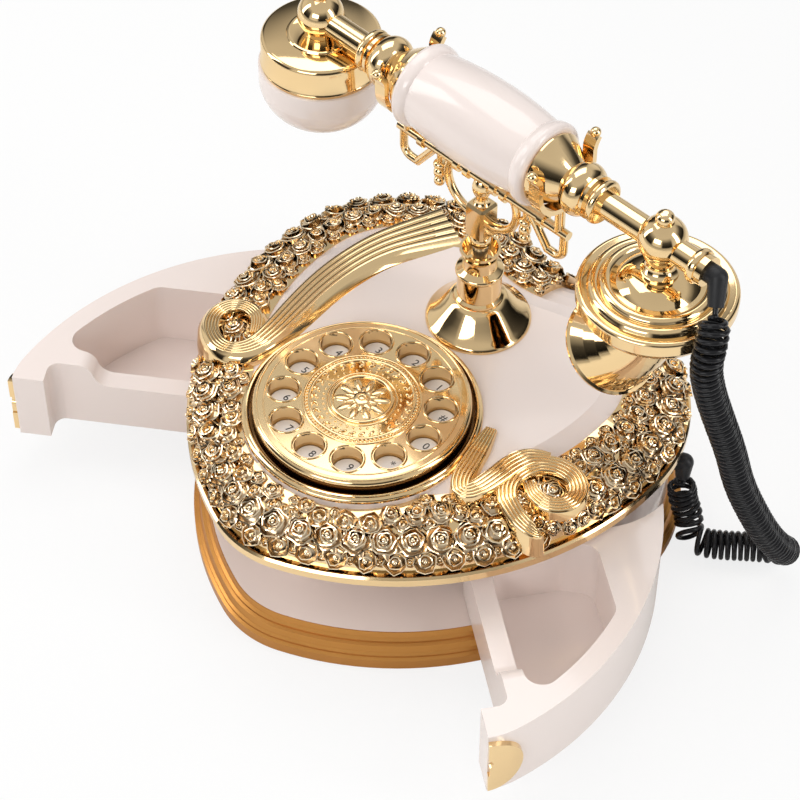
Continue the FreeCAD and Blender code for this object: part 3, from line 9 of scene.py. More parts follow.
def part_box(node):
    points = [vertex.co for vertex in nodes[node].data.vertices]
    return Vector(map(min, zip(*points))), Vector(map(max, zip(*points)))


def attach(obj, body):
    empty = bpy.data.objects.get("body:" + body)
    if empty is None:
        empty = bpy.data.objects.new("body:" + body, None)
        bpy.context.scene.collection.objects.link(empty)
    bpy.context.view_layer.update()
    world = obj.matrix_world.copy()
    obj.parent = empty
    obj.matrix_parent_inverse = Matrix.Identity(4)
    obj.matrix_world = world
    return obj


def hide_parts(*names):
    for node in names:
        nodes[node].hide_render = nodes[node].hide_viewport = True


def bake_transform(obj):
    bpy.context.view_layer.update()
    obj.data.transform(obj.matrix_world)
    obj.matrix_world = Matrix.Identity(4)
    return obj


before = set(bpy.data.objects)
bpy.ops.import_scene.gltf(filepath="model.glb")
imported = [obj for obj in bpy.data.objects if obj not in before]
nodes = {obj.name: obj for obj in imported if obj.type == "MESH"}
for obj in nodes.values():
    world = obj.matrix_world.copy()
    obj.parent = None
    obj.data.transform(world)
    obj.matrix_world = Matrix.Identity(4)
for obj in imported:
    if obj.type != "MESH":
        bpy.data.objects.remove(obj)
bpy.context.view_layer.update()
scene = bpy.context.scene
mm = 0.001
merge = 1e-6  # metres, for doubled points
down = Vector((0, 0, -1))
print("frame loaded", len(nodes), "pieces")


# camera, lamps, room and floor

viewSettings = {
    "target": (-8.0, -5.0, 60.0), "azimuth": 42.0, "elevation": 48.0, "distance": 1200.0,
    "lens": 117.0, "sensor": 36.0, "nearest": 10.0,
}


def placeCamera():
    s = viewSettings
    az = math.radians(s["azimuth"])
    el = math.radians(s["elevation"])
    back = Vector((math.sin(az) * math.cos(el), -math.cos(az) * math.cos(el), math.sin(el)))
    data = bpy.data.cameras.new("photoCamera")
    data.lens = s["lens"]
    data.sensor_width = s["sensor"]
    data.clip_start = s["nearest"] * mm
    camera = bpy.data.objects.new("photoCamera", data)
    camera.location = (Vector(s["target"]) + back * s["distance"]) * mm
    camera.rotation_euler = back.to_track_quat("Z", "Y").to_euler()
    scene.collection.objects.link(camera)
    scene.camera = camera


lampSettings = {
    # name: (place, aim, size x, size y, power)
    "topSoftbox": ((-0.35, 0.25, 1.15), (0.0, 0.0, 0.08), 0.9, 0.7, 4.1),
    "leftStrip": ((-0.95, -0.55, 0.65), (0.0, 0.0, 0.08), 0.30, 1.0, 3.4),
    "rightStrip": ((0.95, 0.30, 0.60), (0.0, 0.0, 0.10), 0.25, 0.9, 3.3),
    "frontFill": ((0.25, -1.10, 0.75), (0.0, 0.0, 0.05), 0.7, 0.4, 3.8),
}


def placeLamps():
    for name, (place, aim, wide, tall, power) in lampSettings.items():
        data = bpy.data.lights.new(name, "AREA")
        data.shape = "RECTANGLE"
        data.size = wide
        data.size_y = tall
        data.energy = power
        lamp = bpy.data.objects.new(name, data)
        lamp.location = place
        way = Vector(place) - Vector(aim)
        lamp.rotation_euler = way.to_track_quat("Z", "Y").to_euler()
        scene.collection.objects.link(lamp)


worldSettings = {
    "panels": 4.0, "panelTurn": 0.9, "strength": 0.62,
    # stops of place and level
    "walls": ((0.0, 0.01), (0.42, 0.02), (0.54, 0.60), (0.66, 1.05), (1.0, 1.25)),
    "heights": ((0.0, 0.60), (0.48, 0.62), (0.52, 0.35), (0.72, 0.75), (0.86, 1.0), (1.0, 0.95)),
    "wallShare": ((0.50, 0.0), (0.53, 1.0), (0.70, 0.85), (0.84, 0.0)),
}


def rampOf(tree, value, stops):
    spread = tree.nodes.new("ShaderNodeMapRange")  # from -1..1
    spread.inputs["From Min"].default_value = -1.0
    spread.inputs["From Max"].default_value = 1.0
    tree.links.new(value, spread.inputs["Value"])
    ramp = tree.nodes.new("ShaderNodeValToRGB")
    tree.links.new(spread.outputs["Result"], ramp.inputs[0])
    marks = ramp.color_ramp.elements
    while len(marks) < len(stops):
        marks.new(0.5)  # moved to its place below
    for mark, (place, level) in zip(marks, stops):
        mark.position = place
        mark.color = (level, level, level, 1)
    return ramp.outputs["Color"]


def buildWorld():
    s = worldSettings
    world = bpy.data.worlds.new("studioWorld")
    world.use_nodes = True
    scene.world = world
    tree = world.node_tree
    tree.nodes.clear()
    out = tree.nodes.new("ShaderNodeOutputWorld")
    mix = tree.nodes.new("ShaderNodeMixShader")
    room = tree.nodes.new("ShaderNodeBackground")
    white = tree.nodes.new("ShaderNodeBackground")
    path = tree.nodes.new("ShaderNodeLightPath")
    coords = tree.nodes.new("ShaderNodeTexCoord")
    split = tree.nodes.new("ShaderNodeSeparateXYZ")
    tree.links.new(coords.outputs["Generated"], split.inputs[0])
    ring = tree.nodes.new("ShaderNodeMath")  # bearing round the room
    ring.operation = "ARCTAN2"
    tree.links.new(split.outputs["Y"], ring.inputs[0])
    tree.links.new(split.outputs["X"], ring.inputs[1])
    turns = tree.nodes.new("ShaderNodeMath")
    turns.operation = "MULTIPLY_ADD"
    turns.inputs[1].default_value = s["panels"]
    turns.inputs[2].default_value = s["panelTurn"]
    tree.links.new(ring.outputs[0], turns.inputs[0])
    wave = tree.nodes.new("ShaderNodeMath")
    wave.operation = "SINE"
    tree.links.new(turns.outputs[0], wave.inputs[0])
    walls = rampOf(tree, wave.outputs[0], s["walls"])
    heights = rampOf(tree, split.outputs["Z"], s["heights"])
    wallShare = rampOf(tree, split.outputs["Z"], s["wallShare"])
    blend = tree.nodes.new("ShaderNodeMix")
    blend.data_type = "RGBA"
    tree.links.new(wallShare, blend.inputs["Factor"])
    tree.links.new(heights, blend.inputs["A"])
    tree.links.new(walls, blend.inputs["B"])
    tree.links.new(blend.outputs["Result"], room.inputs["Color"])
    room.inputs["Strength"].default_value = s["strength"]
    white.inputs["Color"].default_value = (1, 1, 1, 1)  # what the camera sees
    tree.links.new(path.outputs["Is Camera Ray"], mix.inputs[0])
    tree.links.new(room.outputs[0], mix.inputs[1])
    tree.links.new(white.outputs[0], mix.inputs[2])
    tree.links.new(mix.outputs[0], out.inputs[0])


floorSettings = {"half": 6.0, "paper": (0.90, 0.90, 0.89), "glow": 1.0, "glowShare": 0.80}


def buildFloor():
    s = floorSettings
    bm = bmesh.new()
    bmesh.ops.create_grid(bm, x_segments=1, y_segments=1, size=s["half"])
    mesh = bpy.data.meshes.new("floor")
    bm.to_mesh(mesh)
    bm.free()
    floor = bpy.data.objects.new("floor", mesh)
    scene.collection.objects.link(floor)
    material = bpy.data.materials.new("paleFloor")
    material.use_nodes = True
    tree = material.node_tree
    tree.nodes.clear()
    out = tree.nodes.new("ShaderNodeOutputMaterial")
    mix = tree.nodes.new("ShaderNodeMixShader")
    paper = tree.nodes.new("ShaderNodeBsdfDiffuse")
    glow = tree.nodes.new("ShaderNodeEmission")
    path = tree.nodes.new("ShaderNodeLightPath")
    share = tree.nodes.new("ShaderNodeMath")
    share.operation = "MULTIPLY"
    share.inputs[1].default_value = s["glowShare"]
    paper.inputs["Color"].default_value = (*s["paper"], 1)
    glow.inputs["Strength"].default_value = s["glow"]
    tree.links.new(path.outputs["Is Camera Ray"], share.inputs[0])
    tree.links.new(share.outputs[0], mix.inputs[0])
    tree.links.new(paper.outputs[0], mix.inputs[1])
    tree.links.new(glow.outputs[0], mix.inputs[2])
    tree.links.new(mix.outputs[0], out.inputs[0])
    mesh.materials.append(material)


scene.view_settings.view_transform = "Standard"
placeCamera()
placeLamps()
buildWorld()
buildFloor()
print("camera and studio ready")


# finishes

mottleSettings = {
    "finer": 9.0, "broadDetail": 4.0, "fineDetail": 3.0, "spread": (0.3, 0.7), "bumpDepth": 0.0004,
    "sockets": (("Vector", "INPUT", "NodeSocketVector"), ("Scale", "INPUT", "NodeSocketFloat"),
                ("Low", "INPUT", "NodeSocketFloat"), ("High", "INPUT", "NodeSocketFloat"),
                ("Tone", "OUTPUT", "NodeSocketFloat"), ("Gloss", "OUTPUT", "NodeSocketFloat"),
                ("Height", "OUTPUT", "NodeSocketFloat")),
}


def mottleGroup():
    s = mottleSettings
    group = bpy.data.node_groups.new("surfaceMottle", "ShaderNodeTree")
    for name, way, kind in s["sockets"]:
        group.interface.new_socket(name, in_out=way, socket_type=kind)
    inside = group.nodes.new("NodeGroupInput")
    outside = group.nodes.new("NodeGroupOutput")
    broad = group.nodes.new("ShaderNodeTexNoise")
    fine = group.nodes.new("ShaderNodeTexNoise")
    finer = group.nodes.new("ShaderNodeMath")
    finer.operation = "MULTIPLY"
    finer.inputs[1].default_value = s["finer"]
    broad.inputs["Detail"].default_value = s["broadDetail"]
    fine.inputs["Detail"].default_value = s["fineDetail"]
    spread = group.nodes.new("ShaderNodeMapRange")
    spread.inputs["From Min"].default_value = s["spread"][0]
    spread.inputs["From Max"].default_value = s["spread"][1]
    group.links.new(inside.outputs["Vector"], broad.inputs["Vector"])
    group.links.new(inside.outputs["Vector"], fine.inputs["Vector"])
    group.links.new(inside.outputs["Scale"], broad.inputs["Scale"])
    group.links.new(inside.outputs["Scale"], finer.inputs[0])
    group.links.new(finer.outputs[0], fine.inputs["Scale"])
    group.links.new(broad.outputs["Fac"], spread.inputs["Value"])
    group.links.new(inside.outputs["Low"], spread.inputs["To Min"])
    group.links.new(inside.outputs["High"], spread.inputs["To Max"])
    group.links.new(broad.outputs["Fac"], outside.inputs["Tone"])
    group.links.new(spread.outputs["Result"], outside.inputs["Gloss"])
    group.links.new(fine.outputs["Fac"], outside.inputs["Height"])
    return group


mottle = mottleGroup()


def finish(name, shade, tint, scale, gloss, bump, metallic=0.0, coat=0.0, carvingShade=None, shine=0.5):
    material = bpy.data.materials.new(name)
    material.use_nodes = True
    tree = material.node_tree
    bsdf = tree.nodes["Principled BSDF"]
    coords = tree.nodes.new("ShaderNodeTexCoord")
    grain = tree.nodes.new("ShaderNodeGroup")
    grain.node_tree = mottle
    grain.inputs["Scale"].default_value = scale
    grain.inputs["Low"].default_value = gloss[0]
    grain.inputs["High"].default_value = gloss[1]
    mix = tree.nodes.new("ShaderNodeMix")
    mix.data_type = "RGBA"
    mix.inputs["A"].default_value = (*shade, 1)
    mix.inputs["B"].default_value = (*tint, 1)
    lump = tree.nodes.new("ShaderNodeBump")
    lump.inputs["Strength"].default_value = bump
    lump.inputs["Distance"].default_value = mottleSettings["bumpDepth"]
    tree.links.new(coords.outputs["Object"], grain.inputs["Vector"])
    tree.links.new(grain.outputs["Tone"], mix.inputs["Factor"])
    tree.links.new(grain.outputs["Gloss"], bsdf.inputs["Roughness"])
    tree.links.new(grain.outputs["Height"], lump.inputs["Height"])
    tree.links.new(lump.outputs["Normal"], bsdf.inputs["Normal"])
    colour = mix.outputs["Result"]
    if carvingShade:  # painted shade: darker down in the carving
        depth = tree.nodes.new("ShaderNodeAttribute")
        depth.attribute_name = "carvingShadeHeight"
        deep = tree.nodes.new("ShaderNodeMix")
        deep.data_type = "RGBA"
        deep.inputs["A"].default_value = (*carvingShade, 1)
        tree.links.new(depth.outputs["Fac"], deep.inputs["Factor"])
        tree.links.new(colour, deep.inputs["B"])
        colour = deep.outputs["Result"]
    tree.links.new(colour, bsdf.inputs["Base Color"])
    bsdf.inputs["Metallic"].default_value = metallic
    bsdf.inputs["Coat Weight"].default_value = coat
    bsdf.inputs["Specular IOR Level"].default_value = shine
    return material


polishedGold = finish("polishedGold", (0.88, 0.62, 0.31), (0.95, 0.72, 0.41), scale=16.0,
                      gloss=(0.05, 0.12), bump=0.012, metallic=1.0)
# painted shade: the carving is tinted darker low down, where its hollows are shaded
carvedGold = finish("carvedGold", (0.93, 0.72, 0.45), (0.99, 0.84, 0.61), scale=60.0,
                    gloss=(0.10, 0.20), bump=0.08, metallic=1.0, carvingShade=(0.23, 0.115, 0.042))
# painted shade: a dark gold for the sleeve that stands in for the shade in the groove round the dial plate
shadowGold = finish("shadowGold", (0.085, 0.045, 0.018), (0.15, 0.08, 0.032), scale=30.0,
                    gloss=(0.12, 0.22), bump=0.03, metallic=1.0)
satinGold = finish("satinGold", (0.50, 0.215, 0.045), (0.66, 0.32, 0.085), scale=14.0,
                   gloss=(0.30, 0.42), bump=0.25, metallic=0.80)
ivoryGloss = finish("ivoryGloss", (0.875, 0.765, 0.715), (0.905, 0.805, 0.76), scale=9.0,
                    gloss=(0.13, 0.20), bump=0.02, coat=0.25)
ivoryInside = finish("ivoryInside", (0.86, 0.74, 0.68), (0.89, 0.78, 0.725), scale=9.0,
                     gloss=(0.26, 0.36), bump=0.06)
keyWhite = finish("keyWhite", (0.84, 0.80, 0.78), (0.88, 0.85, 0.83), scale=30.0,
                  gloss=(0.24, 0.32), bump=0.04)
cordBlack = finish("cordBlack", (0.008, 0.008, 0.009), (0.016, 0.016, 0.018), scale=120.0,
                   gloss=(0.14, 0.24), bump=0.06, shine=0.24)
mouldedBlack = finish("mouldedBlack", (0.012, 0.012, 0.013), (0.022, 0.022, 0.024), scale=70.0,
                      gloss=(0.36, 0.52), bump=0.20, shine=0.28)
rubberBlack = finish("rubberBlack", (0.010, 0.010, 0.010), (0.025, 0.025, 0.025), scale=90.0,
                     gloss=(0.60, 0.78), bump=0.30)
plainSteel = finish("plainSteel", (0.50, 0.50, 0.51), (0.62, 0.62, 0.63), scale=40.0,
                    gloss=(0.22, 0.34), bump=0.08, metallic=1.0)
boardGreen = finish("boardGreen", (0.03, 0.12, 0.05), (0.05, 0.18, 0.08), scale=60.0,
                    gloss=(0.40, 0.55), bump=0.15)
inkBlack = finish("inkBlack", (0.010, 0.010, 0.012), (0.020, 0.020, 0.024), scale=80.0,
                  gloss=(0.35, 0.5), bump=0.05)

nodeFinish = {
    polishedGold: ("dial_bezel", "dial_rim", "dial_hub", "dial_webs", "pedestal_bell", "pedestal_collar",
                   "cradle_yoke", "cradle_bar", "cradle_prongs", "grip_connectors", "ear_arm", "mouth_arm",
                   "ear_cap", "mouth_disc", "mouth_dish", "mouth_horn", "left_latch_plate",
                   "right_latch_plate", "ribbons", "rose_band", "rim_roses"),
    satinGold: ("base_plinth",),
    ivoryGloss: ("top_shell", "rear_housing", "left_drawer", "right_drawer", "handset_grip", "ear_bowl"),
    ivoryInside: ("bay_floor", "bay_ceiling", "centre_partition"),
    keyWhite: ("key_1", "key_2", "key_3", "key_4", "key_5", "key_6", "key_7", "key_8", "key_9", "key_star",
               "key_0", "key_hash"),
    cordBlack: ("curly_cord",),
    mouldedBlack: ("cord_grommet", "cord_socket", "line_jack", "bottom_cover", "ringer", "hook_switch"),
    rubberBlack: ("rubber_pads", "keypad_membrane"),
    plainSteel: ("hinge_pins", "bottom_screws", "hook_plunger", "hook_spring", "ear_speaker", "microphone"),
    boardGreen: ("main_board", "keypad_board"),
}


def dressNodes():
    for material, names in nodeFinish.items():
        for name in names:
            mesh = nodes[name].data
            mesh.materials.clear()
            mesh.materials.append(material)
    bare = [name for name in nodes if not nodes[name].data.materials]
    print("nodes dressed, bare:", bare)


dressNodes()


# shared helpers

def addPiece(name, bm, material, body, sharp):
    bmesh.ops.remove_doubles(bm, verts=bm.verts, dist=merge)
    mesh = bpy.data.meshes.new(name)
    bm.to_mesh(mesh)
    bm.free()
    mesh.materials.append(material)
    mesh.shade_smooth()
    mesh.set_sharp_from_angle(angle=math.radians(sharp))
    piece = bpy.data.objects.new(name, mesh)
    scene.collection.objects.link(piece)
    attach(piece, body)
    return piece


def toMetres(bm):
    bmesh.ops.scale(bm, vec=(mm, mm, mm), verts=bm.verts)


def meshOf(thing):
    bpy.context.view_layer.update()
    deps = bpy.context.evaluated_depsgraph_get()
    return bpy.data.meshes.new_from_object(thing.evaluated_get(deps))


def surfaceOf(mesh):
    points = [v.co for v in mesh.vertices]
    faces = [tuple(p.vertices) for p in mesh.polygons]
    return BVHTree.FromPolygons(points, faces)


lineSettings = {"resolution": 24, "order": 3}


def routeLine(points):
    s = lineSettings
    data = bpy.data.curves.new("route", "CURVE")
    data.dimensions = "3D"
    data.resolution_u = s["resolution"]
    spline = data.splines.new("NURBS")
    spline.points.add(len(points) - 1)
    for spot, p in zip(spline.points, points):
        spot.co = (*p, 1.0)
    spline.order_u = s["order"]
    spline.use_endpoint_u = True
    thing = bpy.data.objects.new("route", data)
    scene.collection.objects.link(thing)
    mesh = meshOf(thing)
    line = [v.co.copy() for v in mesh.vertices]
    bpy.data.objects.remove(thing)
    bpy.data.meshes.remove(mesh)
    return line


def evenly(line, step):
    spots = [line[0].copy()]
    left = step
    for a, b in zip(line, line[1:]):
        run = (b - a).length
        while run >= left:
            a = a + (b - a) * (left / run)
            spots.append(a.copy())
            run = (b - a).length
            left = step
        left -= run
    return spots


# curly cord

cordSettings = {
    "route": ((134.86, 27.02, 195.81), (139.50, 20.85, 186.62),
              (139.5, 17.5, 172.0), (141.0, 20.0, 157.0), (144.0, 25.5, 137.0), (148.0, 32.5, 113.0),
              (150.5, 39.0, 87.0), (155.0, 47.5, 63.0), (158.5, 56.0, 43.0), (161.0, 66.0, 26.0),
              (159.5, 76.5, 13.0), (151.0, 76.0, 8.4), (142.0, 69.5, 8.4), (134.0, 63.0, 8.4),
              (126.0, 57.5, 8.6), (118.5, 55.5, 9.5), (114.5, 60.0, 17.0),
              (107.62, 60.89, 28.0), (107.62, 60.89, 40.0)),
    "coil": 5.9, "wire": 2.4, "pitch": 2.95, "closest": 2.6, "leastRoom": 0.3,
    # in turns, the straight tail in millimetres
    "ease": 1.5, "look": 2, "tail": 3.0,
    "steps": 14, "sides": 2,
}


def curlLine():
    s = cordSettings
    line = routeLine([Vector(p) * mm for p in s["route"]])
    step = s["pitch"] * mm / s["steps"]
    spots = evenly(line, step)
    side = Vector((0, 1, 0))
    curls = []
    count = len(spots)
    look = s["steps"] * s["look"]
    turn = 0.0
    for k, p in enumerate(spots):
        ahead = spots[min(k + 1, count - 1)] - spots[max(k - 1, 0)]
        ahead.normalize()
        side = (side - ahead * side.dot(ahead)).normalized()
        across = ahead.cross(side)
        turns = max(0.0, min(k, count - 1 - k) / s["steps"] - s["tail"] / s["pitch"])
        reach = min(1.0, turns / s["ease"])
        radius = s["coil"] * mm * reach * reach * (3 - 2 * reach)  # a smooth start
        before = p - spots[max(k - look, 0)]
        after = spots[min(k + look, count - 1)] - p
        bend = before.angle(after, 0.0) / max((before.length + after.length) / 2, step)
        room = max(1.0 - s["coil"] * mm * bend, s["leastRoom"])
        opened = s["closest"] * mm / room  # curls open where the cord bends
        turn += 2 * math.pi * step / max(s["pitch"] * mm, opened)
        curls.append(p + side * (radius * math.cos(turn)) + across * (radius * math.sin(turn)))
    curls[-1] = Vector(s["route"][-1]) * mm
    return curls


def buildCord():
    s = cordSettings
    curls = curlLine()
    data = bpy.data.curves.new("curlyCord", "CURVE")
    data.dimensions = "3D"
    data.bevel_depth = s["wire"] * mm / 2
    data.bevel_resolution = s["sides"]
    data.use_fill_caps = True
    spline = data.splines.new("POLY")
    spline.points.add(len(curls) - 1)
    for spot, p in zip(spline.points, curls):
        spot.co = (*p, 1.0)
    thing = bpy.data.objects.new("cordCurve", data)
    scene.collection.objects.link(thing)
    mesh = meshOf(thing)
    bpy.data.objects.remove(thing)
    mesh.name = "curlyCord"
    mesh.materials.clear()
    mesh.materials.append(cordBlack)
    mesh.shade_smooth()
    cord = bpy.data.objects.new("curlyCord", mesh)
    scene.collection.objects.link(cord)
    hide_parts("curly_cord")
    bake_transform(cord)


buildCord()


# fluted ribbons with volutes

ribbonSettings = {
    # stations along each strip: x, y, height of the back, width
    "left": ((-46, 75, 88.0, 31), (-54, 58, 89.4, 26), (-61, 41, 90.2, 22), (-64, 21, 90.8, 19.5),
             (-64, 3, 91.0, 18), (-62, -14, 91.0, 17), (-60, -30, 91.0, 15), (-60, -42, 90.6, 13),
             (-63.5, -50, 90.0, 11.5), (-71, -54.5, 89.0, 10.5), (-81, -53, 87.6, 10), (-91, -46, 86.2, 10),
             (-94.5, -36, 86.0, 10), (-90.5, -28, 87.0, 9.5), (-81, -25.5, 88.4, 9), (-72, -29, 89.2, 8),
             (-67.5, -37, 88.6, 7)),
    "rightFront": ((50.5, -9.5, 89.0, 5.5), (54.5, -20.5, 91.0, 8.5), (57.5, -32, 91.0, 9.5),
                   (60, -41, 90.6, 9.2), (64.5, -46, 90.2, 8.8), (68.5, -43, 90.4, 9.2),
                   (70.3, -32, 90.8, 10), (71, -19, 91.0, 10.5), (74.5, -9.5, 90.6, 9.5),
                   (81, -5.5, 89.4, 6.5)),
    "rightBack": ((100.5, -34.5, 79.5, 4), (100.2, -36.6, 81.4, 7.5), (95.5, -38.4, 84.0, 8.5),
                  (88.5, -38.0, 86.4, 9), (80.5, -35.0, 88.4, 9.4), (75.4, -28, 89.4, 9.4),
                  (75.4, -19, 89.8, 9.4), (79.4, -10.4, 89.8, 9.4), (87, -5, 89.0, 9.4),
                  (95.2, -4.6, 87.6, 9.2), (101.6, -9.4, 86.4, 9), (102.4, -18, 85.8, 8.6),
                  (96, -25, 86.4, 8.4), (87.4, -25, 87.2, 7.6), (81.5, -20.5, 86.8, 6)),
    # each piece: its strips, and the share of the width without flutes
    "pieces": {"leftRibbon": (("left",), 0.27), "rightRibbon": (("rightFront", "rightBack"), 0.06)},
    "ridges": 5, "samples": 6, "ridgeDepth": 0.5, "ridgeShape": 0.45, "crownDrop": 0.5, "crownShape": 4,
    "wall": 13.0, "flare": 0.8, "slant": 15.0, "slantSteps": 4, "slantShape": 1.4, "sharp": 55.0,
}


def ridgeProfile(plain):
    s = ribbonSettings
    count = s["ridges"] * s["samples"]
    depth = s["ridgeDepth"]
    profile = [(-0.5, -s["flare"], -s["wall"])]
    for k in range(count + 1):
        v = k / count
        groove = abs(math.sin(math.pi * v * s["ridges"])) ** s["ridgeShape"]
        crown = 1.0 - s["crownDrop"] * (2 * v - 1) ** s["crownShape"]
        profile.append((v * (1 - plain) - 0.5, 0.0, depth * (groove + crown) - 2 * depth))
    for k in range(1, s["slantSteps"] + 1):  # plain slanted side
        v = k / s["slantSteps"]
        profile.append((0.5 - plain * (1 - v), 0.0, -depth - s["slant"] * plain * v ** s["slantShape"]))
    profile.append((0.5, s["flare"], -s["wall"]))
    return profile


def addStrip(bm, stations, plain):
    line = routeLine([Vector(p[:3]) * mm for p in stations])
    widths = [v.x for v in routeLine([Vector((p[3], 0, 0)) * mm for p in stations])]
    profile = ridgeProfile(plain)
    wide = len(profile)
    tall = len(line)
    strip = bmesh.new()
    made = bmesh.ops.create_grid(strip, x_segments=wide - 1, y_segments=tall - 1, size=1.0)
    verts = made["verts"]
    for k, p in enumerate(line):
        run = line[min(k + 1, tall - 1)] - line[max(k - 1, 0)]
        across = Vector((-run.y, run.x, 0)).normalized()
        for j, (share, flare, rise) in enumerate(profile):
            out = across * (widths[k] * share + flare * mm)
            verts[k * wide + j].co = p + out + Vector((0, 0, rise * mm))
    for row in (0, tall - 1):
        cap = [verts[row * wide + j] for j in range(wide)]
        strip.faces.new(cap if row == 0 else cap[::-1])
    for k in range(0, tall * wide - wide, wide):  # closed underneath
        strip.faces.new((verts[k], verts[k + wide], verts[k + 2 * wide - 1], verts[k + wide - 1]))
    bmesh.ops.recalc_face_normals(strip, faces=strip.faces)
    if strip.calc_volume(signed=True) < 0:
        bmesh.ops.reverse_faces(strip, faces=strip.faces)
    mesh = bpy.data.meshes.new("strip")
    strip.to_mesh(mesh)
    strip.free()
    bm.from_mesh(mesh)
    bpy.data.meshes.remove(mesh)


def buildRibbons():
    s = ribbonSettings
    pieces = []
    for name, (strips, plain) in s["pieces"].items():
        bm = bmesh.new()
        for strip in strips:
            addStrip(bm, s[strip], plain)
        piece = addPiece(name, bm, polishedGold, "base", s["sharp"])
        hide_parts("ribbons")
        pieces.append(piece)
        print(name, len(piece.data.polygons), "faces")
    return pieces


ribbons = buildRibbons()


# roses of the rim

roseSettings = {
    "seed": 11, "forms": 5, "sink": 0.9, "swell": 1.16, "upright": 0.35, "spin": 6.28, "sharp": 50.0,
    # looking for places: rays from above, and from outside at the lip's height
    "above": 200.0, "outside": 300.0, "centre": (0.0, -5.0), "lipHeight": 63.0, "outlineSteps": 720,
    "smoothing": 3, "digits": 4,
    # smaller ones between the roses of the frame
    "fillers": (5.6, 4.6, 3.6, 2.9), "insets": (5.0, 7.5, 10.5, 13.5, 17.0, 20.5, 24.0, 27.0),
    "tight": 0.72, "step": 1.6,
    # kept free: the back between two x beyond a y, and the dial with a share of a rose
    "bare": (9.0, 44.0, 60.0), "dial": (0.0, -39.0, 54.6), "dialGap": 0.55,
    # in the eyes of the volutes: x, y, radius
    "eyes": ((90.9, -16.0, 6.4), (-79.5, -38.6, 6.6)),
    # on the wall of the right volute: x, y, z, radius
    "walled": ((106.4, -7.5, 77.0, 3.8), (107.4, -14.5, 76.5, 4.2), (105.6, -21.5, 76.0, 4.3),
               (101.0, -27.0, 76.5, 4.2), (95.0, -30.5, 78.0, 3.8)),
}

# one rose of radius 1
petalSettings = {
    "wall": 0.085, "lean": 0.16, "bigSides": 15, "smallSides": 9,
    # each cup of petals: top radius, foot radius, foot height, rise, lobes
    "bigCups": ((1.00, 0.74, 0.10, 0.34, 5), (0.76, 0.52, 0.24, 0.40, 5), (0.53, 0.34, 0.40, 0.38, 4),
                (0.32, 0.18, 0.52, 0.32, 3)),
    "smallCups": ((1.00, 0.70, 0.10, 0.42, 4), (0.58, 0.36, 0.36, 0.42, 3)),
    "waist": 0.84, "lobe": 0.18, "lobeRise": 0.10, "sway": 0.05,
    "core": {"foot": 0.92, "top": 0.55, "tall": 0.4, "height": 0.12},
    "bud": {"radius": 0.16, "height": 0.78, "sides": 6, "rows": 3, "smallRows": 2},
    "leaf": {"count": 6, "sides": 4, "foot": 0.26, "tip": 0.03, "long": 0.46, "out": 0.95, "height": 0.16,
             "droop": 96.0, "flat": 0.45, "scatter": 0.2},
    # painted shade in the carving: the height where it is darkest, and the rise to full tone
    "tone": (0.02, 0.52),
}


def addCup(bm, pick, sides, cup):
    s = petalSettings
    top, foot, low, rise, lobes = cup
    made = bmesh.ops.create_cone(bm, cap_ends=False, segments=sides, radius1=foot, radius2=top, depth=rise)
    verts = made["verts"]
    faces = list(dict.fromkeys(f for v in verts for f in v.link_faces))
    bmesh.ops.translate(bm, verts=verts, vec=(0, 0, low + rise / 2))
    phase = pick.uniform(0, roseSettings["spin"])
    for v in verts:
        if v.co.z > low + rise / 2:
            angle = math.atan2(v.co.y, v.co.x) + phase
            petal = abs(math.cos(angle * lobes / 2))
            v.co.x *= s["waist"] + s["lobe"] * petal
            v.co.y *= s["waist"] + s["lobe"] * petal
            v.co.z += s["lobeRise"] * petal + s["sway"] * math.sin(angle)
    lean = Matrix.Rotation(pick.uniform(-s["lean"], s["lean"]), 3, "X")
    lean = lean @ Matrix.Rotation(pick.uniform(-s["lean"], s["lean"]), 3, "Y")
    bmesh.ops.rotate(bm, verts=verts, cent=(0, 0, low), matrix=lean)
    bmesh.ops.recalc_face_normals(bm, faces=faces)
    bmesh.ops.solidify(bm, geom=faces, thickness=s["wall"])


def addLeaves(bm, pick):
    s = petalSettings["leaf"]
    for k in range(s["count"]):
        made = bmesh.ops.create_cone(bm, cap_ends=True, segments=s["sides"], radius1=s["foot"],
                                     radius2=s["tip"], depth=s["long"])
        turn = 2 * math.pi * (k + pick.uniform(-s["scatter"], s["scatter"])) / s["count"]
        leaf = Matrix.Rotation(turn, 4, "Z") @ Matrix.Translation((s["out"], 0, s["height"]))
        leaf = leaf @ Matrix.Rotation(math.radians(s["droop"]), 4, "Y")
        leaf = leaf @ Matrix.Diagonal((s["flat"], 1.0, 1.0, 1.0))
        bmesh.ops.transform(bm, verts=made["verts"], matrix=leaf)


def roseForm(cups, sides, leaves, seed):
    s = petalSettings
    core, bud = s["core"], s["bud"]
    pick = random.Random(seed)
    bm = bmesh.new()
    carvingShade = bm.verts.layers.float.new("carvingShadeHeight")
    made = bmesh.ops.create_cone(bm, cap_ends=True, segments=sides, radius1=core["foot"],
                                 radius2=core["top"], depth=core["tall"])
    bmesh.ops.translate(bm, verts=made["verts"], vec=(0, 0, core["height"]))
    for cup in cups:
        addCup(bm, pick, sides, cup)
    rows = bud["rows"] if leaves else bud["smallRows"]
    made = bmesh.ops.create_uvsphere(bm, u_segments=bud["sides"], v_segments=rows, radius=bud["radius"])
    bmesh.ops.translate(bm, verts=made["verts"], vec=(0, 0, bud["height"]))
    if leaves:
        addLeaves(bm, pick)
    dark, rise = s["tone"]
    # painted shade: a height factor, dark low in the rose and full tone at the petal tops
    for v in bm.verts:
        v[carvingShade] = min(1.0, max(0.0, (v.co.z - dark) / rise))
    mesh = bpy.data.meshes.new("roseForm")
    bm.to_mesh(mesh)
    bm.free()
    return mesh


